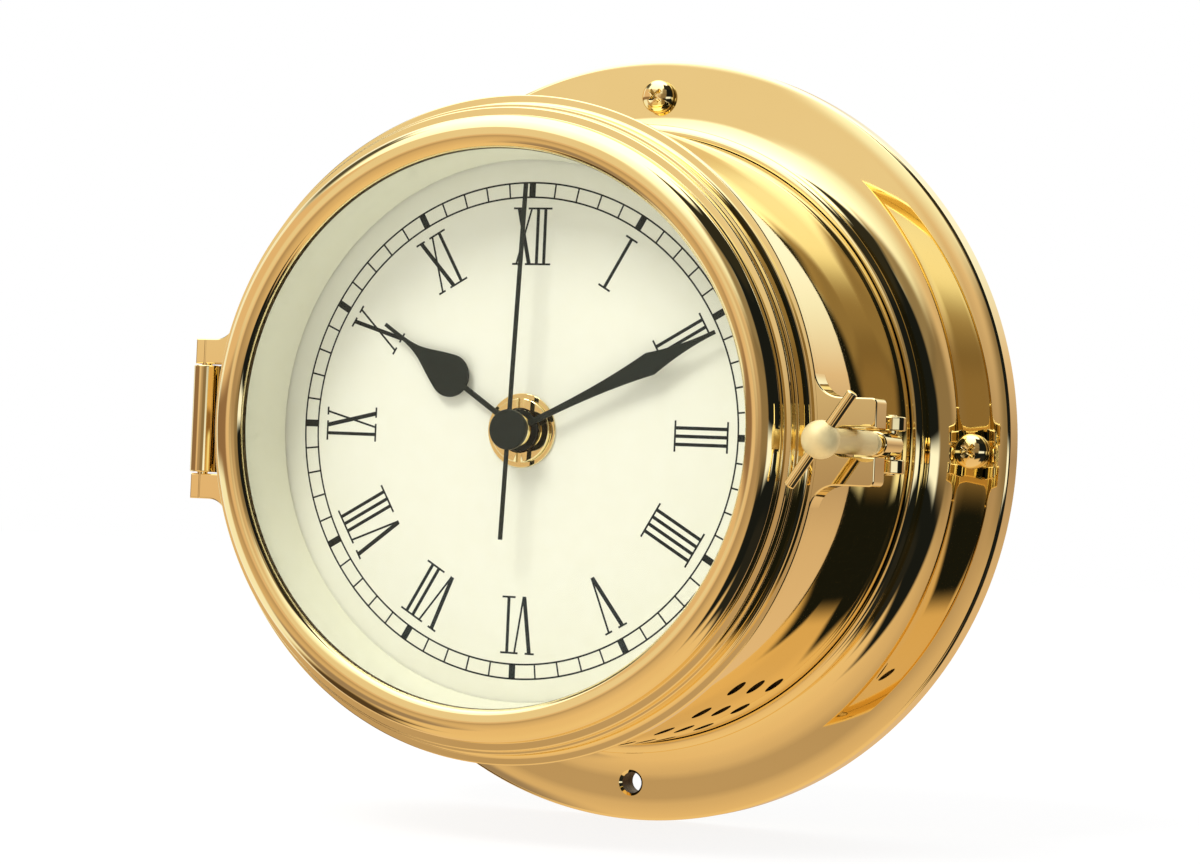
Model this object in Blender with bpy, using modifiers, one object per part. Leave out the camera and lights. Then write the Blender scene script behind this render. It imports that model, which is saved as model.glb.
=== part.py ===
"""Ship's clock for a bulkhead: a brass case on a screw flange, a hinged glass bezel and a swing-bolt latch.

The clock is modelled face up, in metres: X runs to 3 o'clock, Y to 12 o'clock and Z out of the dial, with the
back of the flange at Z = 0. The root empty then stands it upright, so that the dial looks along world -Y.
"""
import math

import bmesh
import bpy
from mathutils import Matrix, Vector
from mathutils.geometry import interpolate_bezier

MM = 0.001

# Fits
SEAT = 0.3 * MM             # between pieces that rest on, or fit into, each other
PIN_FIT = 0.15 * MM         # round a pin or a screw in its hole
SWING_GAP = 0.4 * MM        # beside a piece that swings past another

# Case tube
BODY_RADIUS = 60.0 * MM
BODY_WALL = 3.0 * MM
BODY_FRONT = 66.4 * MM      # height of the tube's front edge above the back plane
LEDGE_WIDTH = 3.0 * MM
LEDGE_DEPTH = 3.0 * MM
LEDGE_CHAMFER = 1.0 * MM
SPIGOT_LENGTH = 5.3 * MM
SPIGOT_WALL = 1.35 * MM

# Vent holes round 6 o'clock
VENT_RADIUS = 2.1 * MM
VENT_ROWS = 3
VENT_ROW_PITCH = 9.3 * MM
VENT_COLUMNS = 11
VENT_COLUMN_ANGLE = 8.0

# Base flange
FLANGE_WIDTH = 16.0 * MM
FLANGE_THICKNESS = 5.6 * MM
FLANGE_EDGE = 0.4 * MM
FLANGE_ROLL = (4.5 * MM, 2.2 * MM)      # how far its edge rolls over, across and down
BASE_NECK = 0.6 * MM        # step from the tube out to the neck under the bead
BASE_BEAD_RADIUS = 1.5 * MM
BASE_BEAD_HEIGHT = 15.3 * MM
BASE_SWEEP = (7.4 * MM, 2.8 * MM)       # hollow sweep from its face to the neck, across and up

# Flange screws
SCREW_PLACE = 0.52          # share of the way from the neck out to the edge
SCREW_HOLE_RADIUS = 2.1 * MM
SCREW_HOLE_CHAMFER = 0.5 * MM
SCREW_HEAD_RADIUS = 3.3 * MM
SCREW_HEAD_HEIGHT = 2.4 * MM
HEAD_SHAPE = ((0.5, 0.94), (0.85, 0.72), (1.0, 0.4))   # shares of the head's radius and height
SCREW_SHANK_RADIUS = SCREW_HOLE_RADIUS - PIN_FIT
SCREW_REACH = 12.0 * MM     # behind the back plane
RECESS_WIDTH = 0.9 * MM
RECESS_LENGTH = 3.6 * MM
RECESS_DEPTH = 1.2 * MM

# Dial
DIAL_DEPTH = 5.4 * MM       # from the tube's front edge down to the dial's face
DIAL_THICKNESS = 1.0 * MM
DIAL_SCREW_RADIUS = 0.6 * MM
DIAL_SCREW_HEAD = 1.2 * MM
DIAL_SCREW_HEAD_HEIGHT = 1.0 * MM
DIAL_SCREW_REACH = 2.4 * MM
DIAL_SCREW_ANGLES = (30.0, 150.0, 270.0)

# Bezel ring, heights above its rear face
BEZEL_OVERHANG = 1.5 * MM
BEZEL_WIDTH = 10.7 * MM     # from the outer edge in to the glass opening
BEZEL_LIP = 9.0 * MM
BEZEL_RABBET = 3.7 * MM     # width of the lip that holds the glass
BEZEL_BEAD_RADIUS = 3.3 * MM
BEZEL_BEAD_INSET = 2.9 * MM
BEZEL_BEAD_HEIGHT = 8.0 * MM
BEZEL_BEAD_END = -19.0      # angle where the bead meets the step
BEZEL_STEP_HEIGHT = 6.2 * MM
BEZEL_STEP_RISE = 0.7 * MM
BEZEL_COVE_RADIUS = 2.2 * MM
BEZEL_COVE_END = 262.0
BEZEL_EDGE_HEIGHT = 2.0 * MM
BEZEL_CHAMFER = 0.3 * MM

# Glass and the ring behind it
GLASS_THICKNESS = 2.0 * MM
REFLECTOR_SHEET = 1.2 * MM
REFLECTOR_INSET = 0.4 * MM  # inside the glass opening, at the front
REFLECTOR_TAPER = 1.8 * MM
REFLECTOR_LIFT = 0.4 * MM   # above the dial

# Lug and hinge ears on the bezel
EAR_REAR = 3.3 * MM         # behind the bezel's rear face
EAR_FRONT = 3.8 * MM        # in front of it
EAR_SEAT_CLEARANCE = 0.2 * MM
EAR_ROOT = 2.6 * MM         # depth of the root inside the ring
LUG_REACH = 10.7 * MM
LUG_HALF_WIDTH = 7.8 * MM
LUG_CORNER = 1.0 * MM
LUG_FLARE = 5.0 * MM
HINGE_EAR_INNER = 10.5 * MM
HINGE_EAR_WIDTH = 4.8 * MM
HINGE_EAR_FLARE = 4.0 * MM
HINGE_EAR_REACH = 2.05 * MM  # past the hinge axis
HINGE_HEIGHT = 0.9 * MM      # axis above the bezel's rear face
HINGE_PIN_RADIUS = 1.0 * MM
KNUCKLE_RADIUS = 2.4 * MM
HINGE_GAP = 0.9 * MM        # between the knuckle and the bezel's edge
KNUCKLE_WEB = 9.2 * MM
KNUCKLE_WRAP = 200.0         # where the web leaves the knuckle

# Latch
LATCH_OFFSET = 6.3 * MM     # bolt axis outside the tube
LATCH_ARM = 26.0 * MM       # from the pivot to the lug's front face
LATCH_PIN_RADIUS = 1.0 * MM
LATCH_EAR_RADIUS = 2.6 * MM
LATCH_EAR_THICKNESS = 2.6 * MM
LATCH_EAR_FOOT = 2.0 * MM
TRUNNION_RADIUS = 2.3 * MM
TRUNNION_LENGTH = 8.5 * MM
STUD_RADIUS = 1.3 * MM
STUD_TRAVEL = 1.6 * MM
STUD_GAP = 2.0 * MM         # bare stud between trunnion and knob
STUD_ENGAGEMENT = 3.7 * MM
STUD_IN_KNOB = 7.0 * MM
BARREL_RADIUS = 2.2 * MM
BARREL_CHAMFER = 0.3 * MM
BALL_RADIUS = 3.4 * MM
BALL_STANDOFF = 9.3 * MM    # ball's centre in front of the lug
BAR_RADIUS = 1.0 * MM
BAR_LENGTH = 20.0 * MM
BAR_END = 0.35 * MM
BAR_ANGLE = 56.0

# Movement
GASKET_THICKNESS = 0.6 * MM
GASKET_RADIUS = 9.0 * MM
HOUSING_WALL = 2.0 * MM     # at the ends of the cell
HOUSING_HEIGHT = 56.0 * MM
HOUSING_EDGE = 1.5 * MM
BUSH_RADIUS = 3.9 * MM
BUSH_WALL = 1.1 * MM
BUSH_SEAT_DEPTH = 4.0 * MM
WASHER_OVERHANG = 0.95 * MM  # outside the nut
WASHER_THICKNESS = 0.3 * MM
NUT_WALL = 1.75 * MM
NUT_THICKNESS = 0.6 * MM
NUT_CHAMFER = 0.2 * MM
NUT_SLOT = 1.0 * MM
ARBOR_WALL = 0.6 * MM
ARBOR_DEPTH = 7.0 * MM      # arbors reach this far behind the housing's front
ARBOR_STEP = 1.0 * MM
CELL_RADIUS = 7.25 * MM
CELL_LENGTH = 49.5 * MM
CELL_NUB_RADIUS = 2.75 * MM
CELL_NUB_LENGTH = 1.0 * MM
CELL_EDGE = 0.8 * MM
CELL_DROP = 18.0 * MM       # below the centre
CONTACT_THICKNESS = 0.5 * MM
CONTACT_WIDTH = 9.0 * MM
CONTACT_HEIGHT = 8.0 * MM
SPRING_LENGTH = 1.8 * MM
BAY_FLOOR = 0.9 * MM
KNOB_RADIUS = 5.0 * MM
KNOB_THICKNESS = 4.4 * MM
KNOB_EDGE = 0.5 * MM
KNOB_RISE = 9.0 * MM        # above the centre
STEM_RADIUS = 1.2 * MM
STEM_LENGTH = 4.0 * MM

# Hands
HAND_THICKNESS = 0.4 * MM
HUB_START = -84.0           # leaves a short flat under the hub
HOUR_LENGTH = 34.6 * MM
HOUR_STEM = 1.0 * MM
HOUR_SPADE_CENTRE = 17.7 * MM
HOUR_SPADE_RADIUS = 4.0 * MM
HOUR_SPADE_SHOULDER = 20.0
HOUR_TIP = 0.7 * MM
HOUR_TIP_LENGTH = 3.4 * MM
HOUR_HUB_WALL = 1.1 * MM
MINUTE_MARGIN = 5.1 * MM    # tip short of the reflector ring
MINUTE_STEM = 1.1 * MM
MINUTE_WIDEST = 4.3 * MM
MINUTE_WIDEST_AT = 29.6 * MM
MINUTE_TIP = 0.75 * MM
MINUTE_REAR_PULL = 0.55     # how hollow its sides are, behind and in front of the shoulder, and at the tip
MINUTE_FRONT_PULL = 0.6
MINUTE_TIP_PULL = 0.8
MINUTE_HUB_WALL = 0.8 * MM
MINUTE_LIFT = 1.05 * MM     # above the hour hand
COLLAR_OVERHANG = 0.6 * MM  # past the minute hand's hub, in front of it
COLLAR_THICKNESS = 0.8 * MM
SECOND_MARGIN = 3.1 * MM
SECOND_TAIL = 20.3 * MM
SECOND_WIDTH = 0.85 * MM
SECOND_THICKNESS = 0.3 * MM
SECOND_LIFT = 2.3 * MM      # above the minute hand
CAP_OVERHANG = 1.05 * MM    # outside the minute hand's hub
CAP_HEIGHT = 0.9 * MM
CAP_EDGE = 0.25 * MM
HOUR_ANGLE = 303.4
MINUTE_ANGLE = 64.2
SECOND_ANGLE = 1.9

# Facets
TURN_STEPS = 56
ROD_STEPS = 16
PIN_STEPS = 12
VENT_STEPS = 10
KNUCKLE_STEPS = 14
ROUND_STEPS = 9
BEAD_STEPS = 8
BEND_STEPS = 5
FILLET_STEPS = 4
SWEEP_POINTS = 7
SMOOTH_ANGLE = math.radians(35.0)
MERGE = 1e-6

# Heights and radii that follow from the sizes above
BODY_INNER = BODY_RADIUS - BODY_WALL
LEDGE_INNER = BODY_INNER - LEDGE_WIDTH
DIAL_FRONT = BODY_FRONT - DIAL_DEPTH
DIAL_BACK = DIAL_FRONT - DIAL_THICKNESS
LEDGE_TOP = DIAL_BACK - SEAT
DIAL_RADIUS = BODY_INNER - SEAT
DIAL_SCREW_CIRCLE = LEDGE_INNER + DIAL_SCREW_HEAD + PIN_FIT
BUSH_HOLE = BUSH_RADIUS + SEAT
NECK_RADIUS = BODY_RADIUS + BASE_NECK
FLANGE_RADIUS = BODY_RADIUS + FLANGE_WIDTH
SHOULDER = BASE_BEAD_HEIGHT + math.sqrt(BASE_BEAD_RADIUS ** 2 - BASE_NECK ** 2)
SCREW_CIRCLE = NECK_RADIUS + SCREW_PLACE * (FLANGE_RADIUS - NECK_RADIUS)
BEZEL_RADIUS = BODY_RADIUS + BEZEL_OVERHANG
BEZEL_REAR = BODY_FRONT + SEAT
GLASS_OPENING = BEZEL_RADIUS - BEZEL_WIDTH
RABBET_RADIUS = GLASS_OPENING + BEZEL_RABBET
GLASS_FRONT = BEZEL_REAR + BEZEL_LIP - SEAT
GLASS_REAR = GLASS_FRONT - GLASS_THICKNESS
REFLECTOR_FRONT_RADIUS = GLASS_OPENING - REFLECTOR_INSET
REFLECTOR_REAR_RADIUS = REFLECTOR_FRONT_RADIUS - REFLECTOR_TAPER
LUG_FRONT = BEZEL_REAR + EAR_FRONT
HINGE_X = -(BEZEL_RADIUS + KNUCKLE_RADIUS + HINGE_GAP)
HINGE_Z = BEZEL_REAR + HINGE_HEIGHT
HINGE_EAR_OUTER = HINGE_EAR_INNER + HINGE_EAR_WIDTH
KNUCKLE_LENGTH = 2.0 * (HINGE_EAR_INNER - SEAT)
LATCH_X = BODY_RADIUS + LATCH_OFFSET
SLOT_HALF_WIDTH = BARREL_RADIUS + SWING_GAP
PIVOT_Z = LUG_FRONT - LATCH_ARM
LATCH_EAR_INNER = TRUNNION_RADIUS + SEAT
TRUNNION_FRONT = PIVOT_Z + TRUNNION_LENGTH
BARREL_REAR = TRUNNION_FRONT + STUD_GAP
STUD_REAR = TRUNNION_FRONT - STUD_ENGAGEMENT
STUD_FRONT = BARREL_REAR + STUD_IN_KNOB
STUD_BORE = STUD_RADIUS + PIN_FIT
BALL_Z = LUG_FRONT + BALL_STANDOFF
GASKET_REAR = DIAL_BACK - SEAT - GASKET_THICKNESS
HOUSING_FRONT = GASKET_REAR - SEAT
HOUSING_DEPTH = 2.0 * (CELL_RADIUS + SEAT) + BAY_FLOOR
HOUSING_REAR = HOUSING_FRONT - HOUSING_DEPTH
BAY_LENGTH = CELL_LENGTH + CELL_NUB_LENGTH + SPRING_LENGTH + CONTACT_THICKNESS + 4.0 * SEAT
HOUSING_WIDTH = BAY_LENGTH + 2.0 * HOUSING_WALL
BUSH_REAR = HOUSING_FRONT - BUSH_SEAT_DEPTH
WASHER_REAR = DIAL_FRONT + PIN_FIT
NUT_REAR = WASHER_REAR + WASHER_THICKNESS + PIN_FIT
NUT_FRONT = NUT_REAR + NUT_THICKNESS
NUT_RADIUS = BUSH_HOLE + NUT_WALL
WASHER_RADIUS = NUT_RADIUS + WASHER_OVERHANG
BUSH_BORE = BUSH_RADIUS - BUSH_WALL
HOUR_TUBE_RADIUS = BUSH_BORE - SEAT
MINUTE_ARBOR_RADIUS = HOUR_TUBE_RADIUS - ARBOR_WALL - SEAT
SECOND_ARBOR_RADIUS = MINUTE_ARBOR_RADIUS - ARBOR_WALL - SEAT
HOUR_HUB = HOUR_TUBE_RADIUS + SEAT + HOUR_HUB_WALL
MINUTE_HUB = MINUTE_ARBOR_RADIUS + SEAT + MINUTE_HUB_WALL
CAP_RADIUS = MINUTE_HUB + CAP_OVERHANG
COLLAR_RADIUS = MINUTE_HUB + COLLAR_OVERHANG
HOUR_REAR = NUT_FRONT + PIN_FIT
MINUTE_REAR = HOUR_REAR + HAND_THICKNESS + MINUTE_LIFT
MINUTE_FRONT = MINUTE_REAR + HAND_THICKNESS
SECOND_REAR = MINUTE_FRONT + SECOND_LIFT
ARBOR_REAR = HOUSING_FRONT - ARBOR_DEPTH
CELL_Z = HOUSING_REAR + CELL_RADIUS + SEAT

# Finishes: colour, roughness, metallic
BRASS = ((0.80, 0.55, 0.22), 0.12, 1.0)
STEEL = ((0.55, 0.55, 0.53), 0.25, 1.0)
CREAM = ((0.90, 0.87, 0.70), 0.30, 0.0)
CHARCOAL = ((0.030, 0.042, 0.036), 0.35, 0.0)
BLACK = ((0.02, 0.02, 0.02), 0.45, 0.0)
RUBBER = ((0.03, 0.03, 0.03), 0.85, 0.0)
CELL = ((0.10, 0.10, 0.11), 0.40, 0.3)
CLEAR = ((0.95, 0.97, 0.96), 0.02, 0.0)

for old in list(bpy.data.objects):
    bpy.data.objects.remove(old, do_unlink=True)

parts = bpy.data.collections.new("ships_clock")
cutters = bpy.data.collections.new("cutters")
for group in (parts, cutters):
    bpy.context.scene.collection.children.link(group)


def empty(name, at, parent=None):
    """An empty on a joint's axis, or at the root."""
    holder = bpy.data.objects.new(name, None)
    holder.location = at
    holder.parent = parent
    parts.objects.link(holder)
    return holder


clock = empty("clock", (0.0, 0.0, 0.0))
clock.rotation_euler.x = math.pi / 2.0
bezel_axis = empty("bezel_axis", (HINGE_X, 0.0, HINGE_Z), clock)
latch_axis = empty("latch_axis", (LATCH_X, 0.0, PIVOT_Z), clock)
hand_axis = empty("hand_axis", (0.0, 0.0, DIAL_FRONT), clock)
knob_axis = empty("knob_axis", (0.0, KNOB_RISE, HOUSING_REAR), clock)


def place(obj, carrier, at=(0.0, 0.0, 0.0), turn=(0.0, 0.0, 0.0)):
    """Put a piece at a point of the clock's own frame, carried by an empty."""
    obj.parent = carrier
    offset = carrier.location if carrier.parent else Vector()
    obj.location = Vector(at) - offset
    obj.rotation_euler = turn
    return obj


def material(name, finish):
    colour, roughness, metallic = finish
    look = bpy.data.materials.new(name)
    look.use_nodes = True
    shader = look.node_tree.nodes["Principled BSDF"]
    shader.inputs["Base Color"].default_value = (*colour, 1.0)
    shader.inputs["Roughness"].default_value = roughness
    shader.inputs["Metallic"].default_value = metallic
    if finish is CLEAR:
        shader.inputs["Transmission Weight"].default_value = 1.0
    return look


def add(name, mesh, finish):
    """A new object: a part if it has a finish, otherwise a tool for cutting or joining."""
    obj = bpy.data.objects.new(name, mesh)
    if finish is None:
        obj.hide_render = True
        obj.display_type = "WIRE"
        cutters.objects.link(obj)
    else:
        mesh.materials.append(material(name, finish))
        parts.objects.link(obj)
    return obj


def arc(centre, radius, start, end, steps):
    """Points of an arc from start to end, in degrees, both ends included."""
    points = []
    for i in range(steps + 1):
        angle = math.radians(start + (end - start) * i / steps)
        points.append((centre[0] + radius * math.cos(angle), centre[1] + radius * math.sin(angle)))
    return points


def oval(centre, reach, start, end, steps):
    """Points of an elliptical arc from start to end, in degrees, with its reach across and up."""
    points = []
    for across, up in arc((0.0, 0.0), 1.0, start, end, steps):
        points.append((centre[0] + reach[0] * across, centre[1] + reach[1] * up))
    return points


def clock_point(radius, angle, height):
    """The point at a radius and a clock angle, in degrees clockwise from 12."""
    turn = math.radians(angle)
    return (radius * math.sin(turn), radius * math.cos(turn), height)


def turned(name, profile, finish=None, steps=TURN_STEPS):
    """A piece turned about Z from (radius, height) points that run down its outer side."""
    mesh = bpy.data.meshes.new(name)
    edges = [(i, i + 1) for i in range(len(profile) - 1)]
    if profile[0][0] > 0.0:
        edges.append((len(profile) - 1, 0))
    mesh.from_pydata([(radius, 0.0, height) for radius, height in profile], edges, [])
    obj = add(name, mesh, finish)
    screw = obj.modifiers.new("turn", "SCREW")
    screw.axis = "Z"
    screw.steps = steps
    screw.render_steps = steps
    screw.use_merge_vertices = True
    screw.merge_threshold = MERGE
    return obj


def ring(name, inner, outer, rear, front, finish, steps=TURN_STEPS):
    return turned(name, [(inner, front), (outer, front), (outer, rear), (inner, rear)], finish, steps)


def rod(name, radius, length, finish=None, steps=PIN_STEPS):
    """A plain cylinder along Z, centred on its origin."""
    mesh = bpy.data.meshes.new(name)
    shape = bmesh.new()
    bmesh.ops.create_cone(shape, cap_ends=True, segments=steps, radius1=radius, radius2=radius, depth=length)
    shape.to_mesh(mesh)
    shape.free()
    return add(name, mesh, finish)


def block(name, size, finish=None):
    mesh = bpy.data.meshes.new(name)
    shape = bmesh.new()
    bmesh.ops.create_cube(shape, size=1.0, matrix=Matrix.Diagonal((*size, 1.0)))
    shape.to_mesh(mesh)
    shape.free()
    return add(name, mesh, finish)


def plate(name, loops, thickness, finish=None):
    """A flat outline, with any holes as further loops, centred on its own XY plane."""
    curve = bpy.data.curves.new(name, "CURVE")
    curve.dimensions = "2D"
    curve.fill_mode = "BOTH"
    curve.extrude = thickness / 2.0
    for loop in loops:
        spline = curve.splines.new("POLY")
        spline.points.add(len(loop) - 1)
        spline.use_cyclic_u = True
        for point, (x, y) in zip(spline.points, loop):
            point.co = (x, y, 0.0, 1.0)
    drawn = bpy.data.objects.new(name, curve)
    bpy.context.scene.collection.objects.link(drawn)
    bpy.context.view_layer.update()
    mesh = bpy.data.meshes.new_from_object(drawn.evaluated_get(bpy.context.evaluated_depsgraph_get()))
    bpy.data.objects.remove(drawn, do_unlink=True)
    shape = bmesh.new()
    shape.from_mesh(mesh)
    bmesh.ops.remove_doubles(shape, verts=shape.verts, dist=MERGE)
    bmesh.ops.recalc_face_normals(shape, faces=shape.faces)
    shape.to_mesh(mesh)
    shape.free()
    mesh.materials.clear()
    mesh.name = name
    return add(name, mesh, finish)


def combine(obj, tool, operation):
    boolean = obj.modifiers.new(tool.name, "BOOLEAN")
    boolean.operation = operation
    boolean.object = tool


def cut(obj, *tools):
    for tool in tools:
        combine(obj, tool, "DIFFERENCE")
    return obj


def join(obj, *tools):
    for tool in tools:
        combine(obj, tool, "UNION")
    return obj


ACROSS = (math.pi / 2.0, 0.0, 0.0)     # turns a local Z axis to lie along Y
SIDEWAYS = (0.0, math.pi / 2.0, 0.0)   # turns a local Z axis to lie along X


def make_case_body():
    shoulder = SHOULDER + SEAT
    counterbore = BODY_INNER + SPIGOT_WALL + SEAT
    body = turned("case_body", [
        (BODY_INNER, BODY_FRONT),
        (BODY_RADIUS, BODY_FRONT),
        (BODY_RADIUS, shoulder),
        (counterbore, shoulder),
        (counterbore, SHOULDER + SPIGOT_LENGTH + SEAT),
        (BODY_INNER, SHOULDER + SPIGOT_LENGTH + SEAT),
        (BODY_INNER, LEDGE_TOP - LEDGE_DEPTH - LEDGE_CHAMFER),
        (LEDGE_INNER, LEDGE_TOP - LEDGE_DEPTH),
        (LEDGE_INNER, LEDGE_TOP),
        (BODY_INNER, LEDGE_TOP),
    ], BRASS)
    mesh = bpy.data.meshes.new("vent_cutter")
    shape = bmesh.new()
    middle_row = (SHOULDER + LEDGE_TOP - LEDGE_DEPTH) / 2.0
    for column in range(VENT_COLUMNS):
        angle = 180.0 + (column - (VENT_COLUMNS - 1) / 2.0) * VENT_COLUMN_ANGLE
        for row in range(VENT_ROWS):
            height = middle_row + (row - (VENT_ROWS - 1) / 2.0) * VENT_ROW_PITCH
            centre = Vector(clock_point(BODY_RADIUS - BODY_WALL / 2.0, angle, height))
            outward = Vector(clock_point(1.0, angle, 0.0)).to_track_quat("Z", "Y").to_matrix().to_4x4()
            bmesh.ops.create_cone(
                shape, cap_ends=True, segments=VENT_STEPS, radius1=VENT_RADIUS, radius2=VENT_RADIUS,
                depth=2.0 * BODY_WALL, matrix=Matrix.Translation(centre) @ outward)
    shape.to_mesh(mesh)
    shape.free()
    vents = place(add("vent_cutter", mesh, None), clock)
    cut(place(body, clock), vents)
    return body


def make_base_flange():
    bead = (NECK_RADIUS, BASE_BEAD_HEIGHT)
    sweep = (NECK_RADIUS + BASE_SWEEP[0], FLANGE_THICKNESS + BASE_SWEEP[1])
    roll = (FLANGE_RADIUS - FLANGE_ROLL[0], FLANGE_THICKNESS - FLANGE_ROLL[1])
    bead_start = math.degrees(math.acos(-BASE_NECK / BASE_BEAD_RADIUS))
    flange = turned("base_flange", [
        (BODY_INNER, SHOULDER + SPIGOT_LENGTH),
        (BODY_INNER + SPIGOT_WALL, SHOULDER + SPIGOT_LENGTH),
        (BODY_INNER + SPIGOT_WALL, SHOULDER),
        *arc(bead, BASE_BEAD_RADIUS, bead_start, -90.0, BEND_STEPS),
        *oval(sweep, BASE_SWEEP, 180.0, 270.0, FILLET_STEPS),
        *oval(roll, FLANGE_ROLL, 90.0, 0.0, FILLET_STEPS),
        (FLANGE_RADIUS, FLANGE_EDGE),
        (FLANGE_RADIUS - FLANGE_EDGE, 0.0),
        (BODY_INNER, 0.0),
    ], BRASS)
    place(flange, clock)
    for angle in (0.0, 90.0, 180.0, 270.0):
        hole = turned("screw_hole_%d" % angle, [
            (0.0, FLANGE_THICKNESS + SCREW_HOLE_CHAMFER),
            (SCREW_HOLE_RADIUS + 2.0 * SCREW_HOLE_CHAMFER, FLANGE_THICKNESS + SCREW_HOLE_CHAMFER),
            (SCREW_HOLE_RADIUS, FLANGE_THICKNESS - SCREW_HOLE_CHAMFER),
            (SCREW_HOLE_RADIUS, -FLANGE_THICKNESS),
            (0.0, -FLANGE_THICKNESS),
        ], steps=PIN_STEPS)
        cut(flange, place(hole, clock, clock_point(SCREW_CIRCLE, angle, 0.0)))
    return flange


def make_mounting_screw(name, angle):
    seat = FLANGE_THICKNESS + SEAT
    top = seat + SCREW_HEAD_HEIGHT
    screw = turned(name, [
        (0.0, top),
        *((out * SCREW_HEAD_RADIUS, seat + up * SCREW_HEAD_HEIGHT) for out, up in HEAD_SHAPE),
        (SCREW_HEAD_RADIUS, seat),
        (SCREW_SHANK_RADIUS, seat),
        (SCREW_SHANK_RADIUS, SCREW_SHANK_RADIUS - SCREW_REACH),
        (0.0, -SCREW_REACH),
    ], BRASS, ROD_STEPS)
    at = clock_point(SCREW_CIRCLE, angle, 0.0)
    half = RECESS_WIDTH / 2.0
    reach = RECESS_LENGTH / 2.0
    quarter = [(half, half), (half, reach), (-half, reach)]
    cross = []
    for i in range(4):
        turn = Matrix.Rotation(i * math.pi / 2.0, 2)
        cross.extend(tuple(turn @ Vector(point)) for point in quarter)
    recess = plate(name + "_recess", [cross], 2.0 * RECESS_DEPTH)
    place(screw, clock, at)
    cut(screw, place(recess, clock, (at[0], at[1], top), (0.0, 0.0, math.radians(45.0))))
    return screw


def make_hinge_knuckle():
    shelf = BODY_FRONT - SEAT
    drop = HINGE_Z - shelf
    start = -math.degrees(math.asin(drop / KNUCKLE_RADIUS))
    shape = [
        (-BODY_INNER, shelf),
        *arc((HINGE_X, HINGE_Z), KNUCKLE_RADIUS, start, KNUCKLE_WRAP, KNUCKLE_STEPS),
        (-BODY_INNER, shelf - KNUCKLE_WEB),
    ]
    knuckle = place(plate("hinge_knuckle", [shape], KNUCKLE_LENGTH, BRASS), clock, turn=ACROSS)
    tube = place(rod("knuckle_seat", BODY_RADIUS + SEAT, 4.0 * BODY_FRONT, steps=TURN_STEPS), clock)
    bore = place(rod("knuckle_bore", HINGE_PIN_RADIUS + PIN_FIT, 2.0 * KNUCKLE_LENGTH), clock,
                 (HINGE_X, 0.0, HINGE_Z), ACROSS)
    return cut(knuckle, tube, bore)


def make_latch_ears():
    base = BODY_RADIUS + SEAT
    shape = [
        *arc((LATCH_X, PIVOT_Z), LATCH_EAR_RADIUS, -90.0, 90.0, ROUND_STEPS),
        (base + LATCH_EAR_FOOT, PIVOT_Z + LATCH_EAR_RADIUS),
        (base, PIVOT_Z + LATCH_EAR_RADIUS + LATCH_EAR_FOOT),
        (base, PIVOT_Z - LATCH_EAR_RADIUS - LATCH_EAR_FOOT),
        (base + LATCH_EAR_FOOT, PIVOT_Z - LATCH_EAR_RADIUS),
    ]
    hole = arc((LATCH_X, PIVOT_Z), LATCH_PIN_RADIUS + PIN_FIT, 0.0, 360.0, PIN_STEPS)[:-1]
    middle = LATCH_EAR_INNER + LATCH_EAR_THICKNESS / 2.0
    for name, side in (("latch_ear_upper", 1.0), ("latch_ear_lower", -1.0)):
        ear = plate(name, [shape, hole], LATCH_EAR_THICKNESS, BRASS)
        place(ear, clock, (0.0, side * middle, 0.0), ACROSS)
    pin_length = 2.0 * (LATCH_EAR_INNER + LATCH_EAR_THICKNESS + SEAT)
    place(rod("latch_pivot_pin", LATCH_PIN_RADIUS, pin_length, BRASS), clock, (LATCH_X, 0.0, PIVOT_Z), ACROSS)


def make_dial():
    dial = place(ring("dial_plate", BUSH_HOLE, DIAL_RADIUS, DIAL_BACK, DIAL_FRONT, CREAM), clock)
    ledge = bpy.data.objects["case_body"]
    seat = DIAL_FRONT + SEAT
    for number, angle in enumerate(DIAL_SCREW_ANGLES, 1):
        at = clock_point(DIAL_SCREW_CIRCLE, angle, 0.0)
        hole = rod("dial_screw_hole_%d" % number, DIAL_SCREW_RADIUS + PIN_FIT, 2.0 * LEDGE_DEPTH + 2.0 * SEAT)
        place(hole, clock, (at[0], at[1], LEDGE_TOP))
        cut(dial, hole)
        cut(ledge, hole)
        screw = turned("dial_screw_%d" % number, [
            (0.0, seat + DIAL_SCREW_HEAD_HEIGHT),
            (DIAL_SCREW_HEAD, seat + DIAL_SCREW_HEAD_HEIGHT),
            (DIAL_SCREW_HEAD, seat),
            (DIAL_SCREW_RADIUS, seat),
            (DIAL_SCREW_RADIUS, LEDGE_TOP - DIAL_SCREW_REACH),
            (0.0, LEDGE_TOP - DIAL_SCREW_REACH),
        ], STEEL, PIN_STEPS)
        place(screw, clock, at)


def flare(half_width, radius):
    """Centre of a fillet tangent to the bezel's edge and to a straight side at half_width."""
    across = half_width + radius
    return (math.sqrt((BEZEL_RADIUS + radius) ** 2 - across ** 2), across)


def flare_arc(half_width, radius):
    """The fillet's points, from the straight side in to the bezel's edge, then the root inside the ring."""
    centre = flare(half_width, radius)
    lean = math.degrees(math.atan2(centre[1], centre[0]))
    points = arc(centre, radius, -90.0, lean - 180.0, BEND_STEPS)
    root = (BEZEL_RADIUS - EAR_ROOT) / math.hypot(*points[-1])
    points.append((points[-1][0] * root, points[-1][1] * root))
    return points


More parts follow.
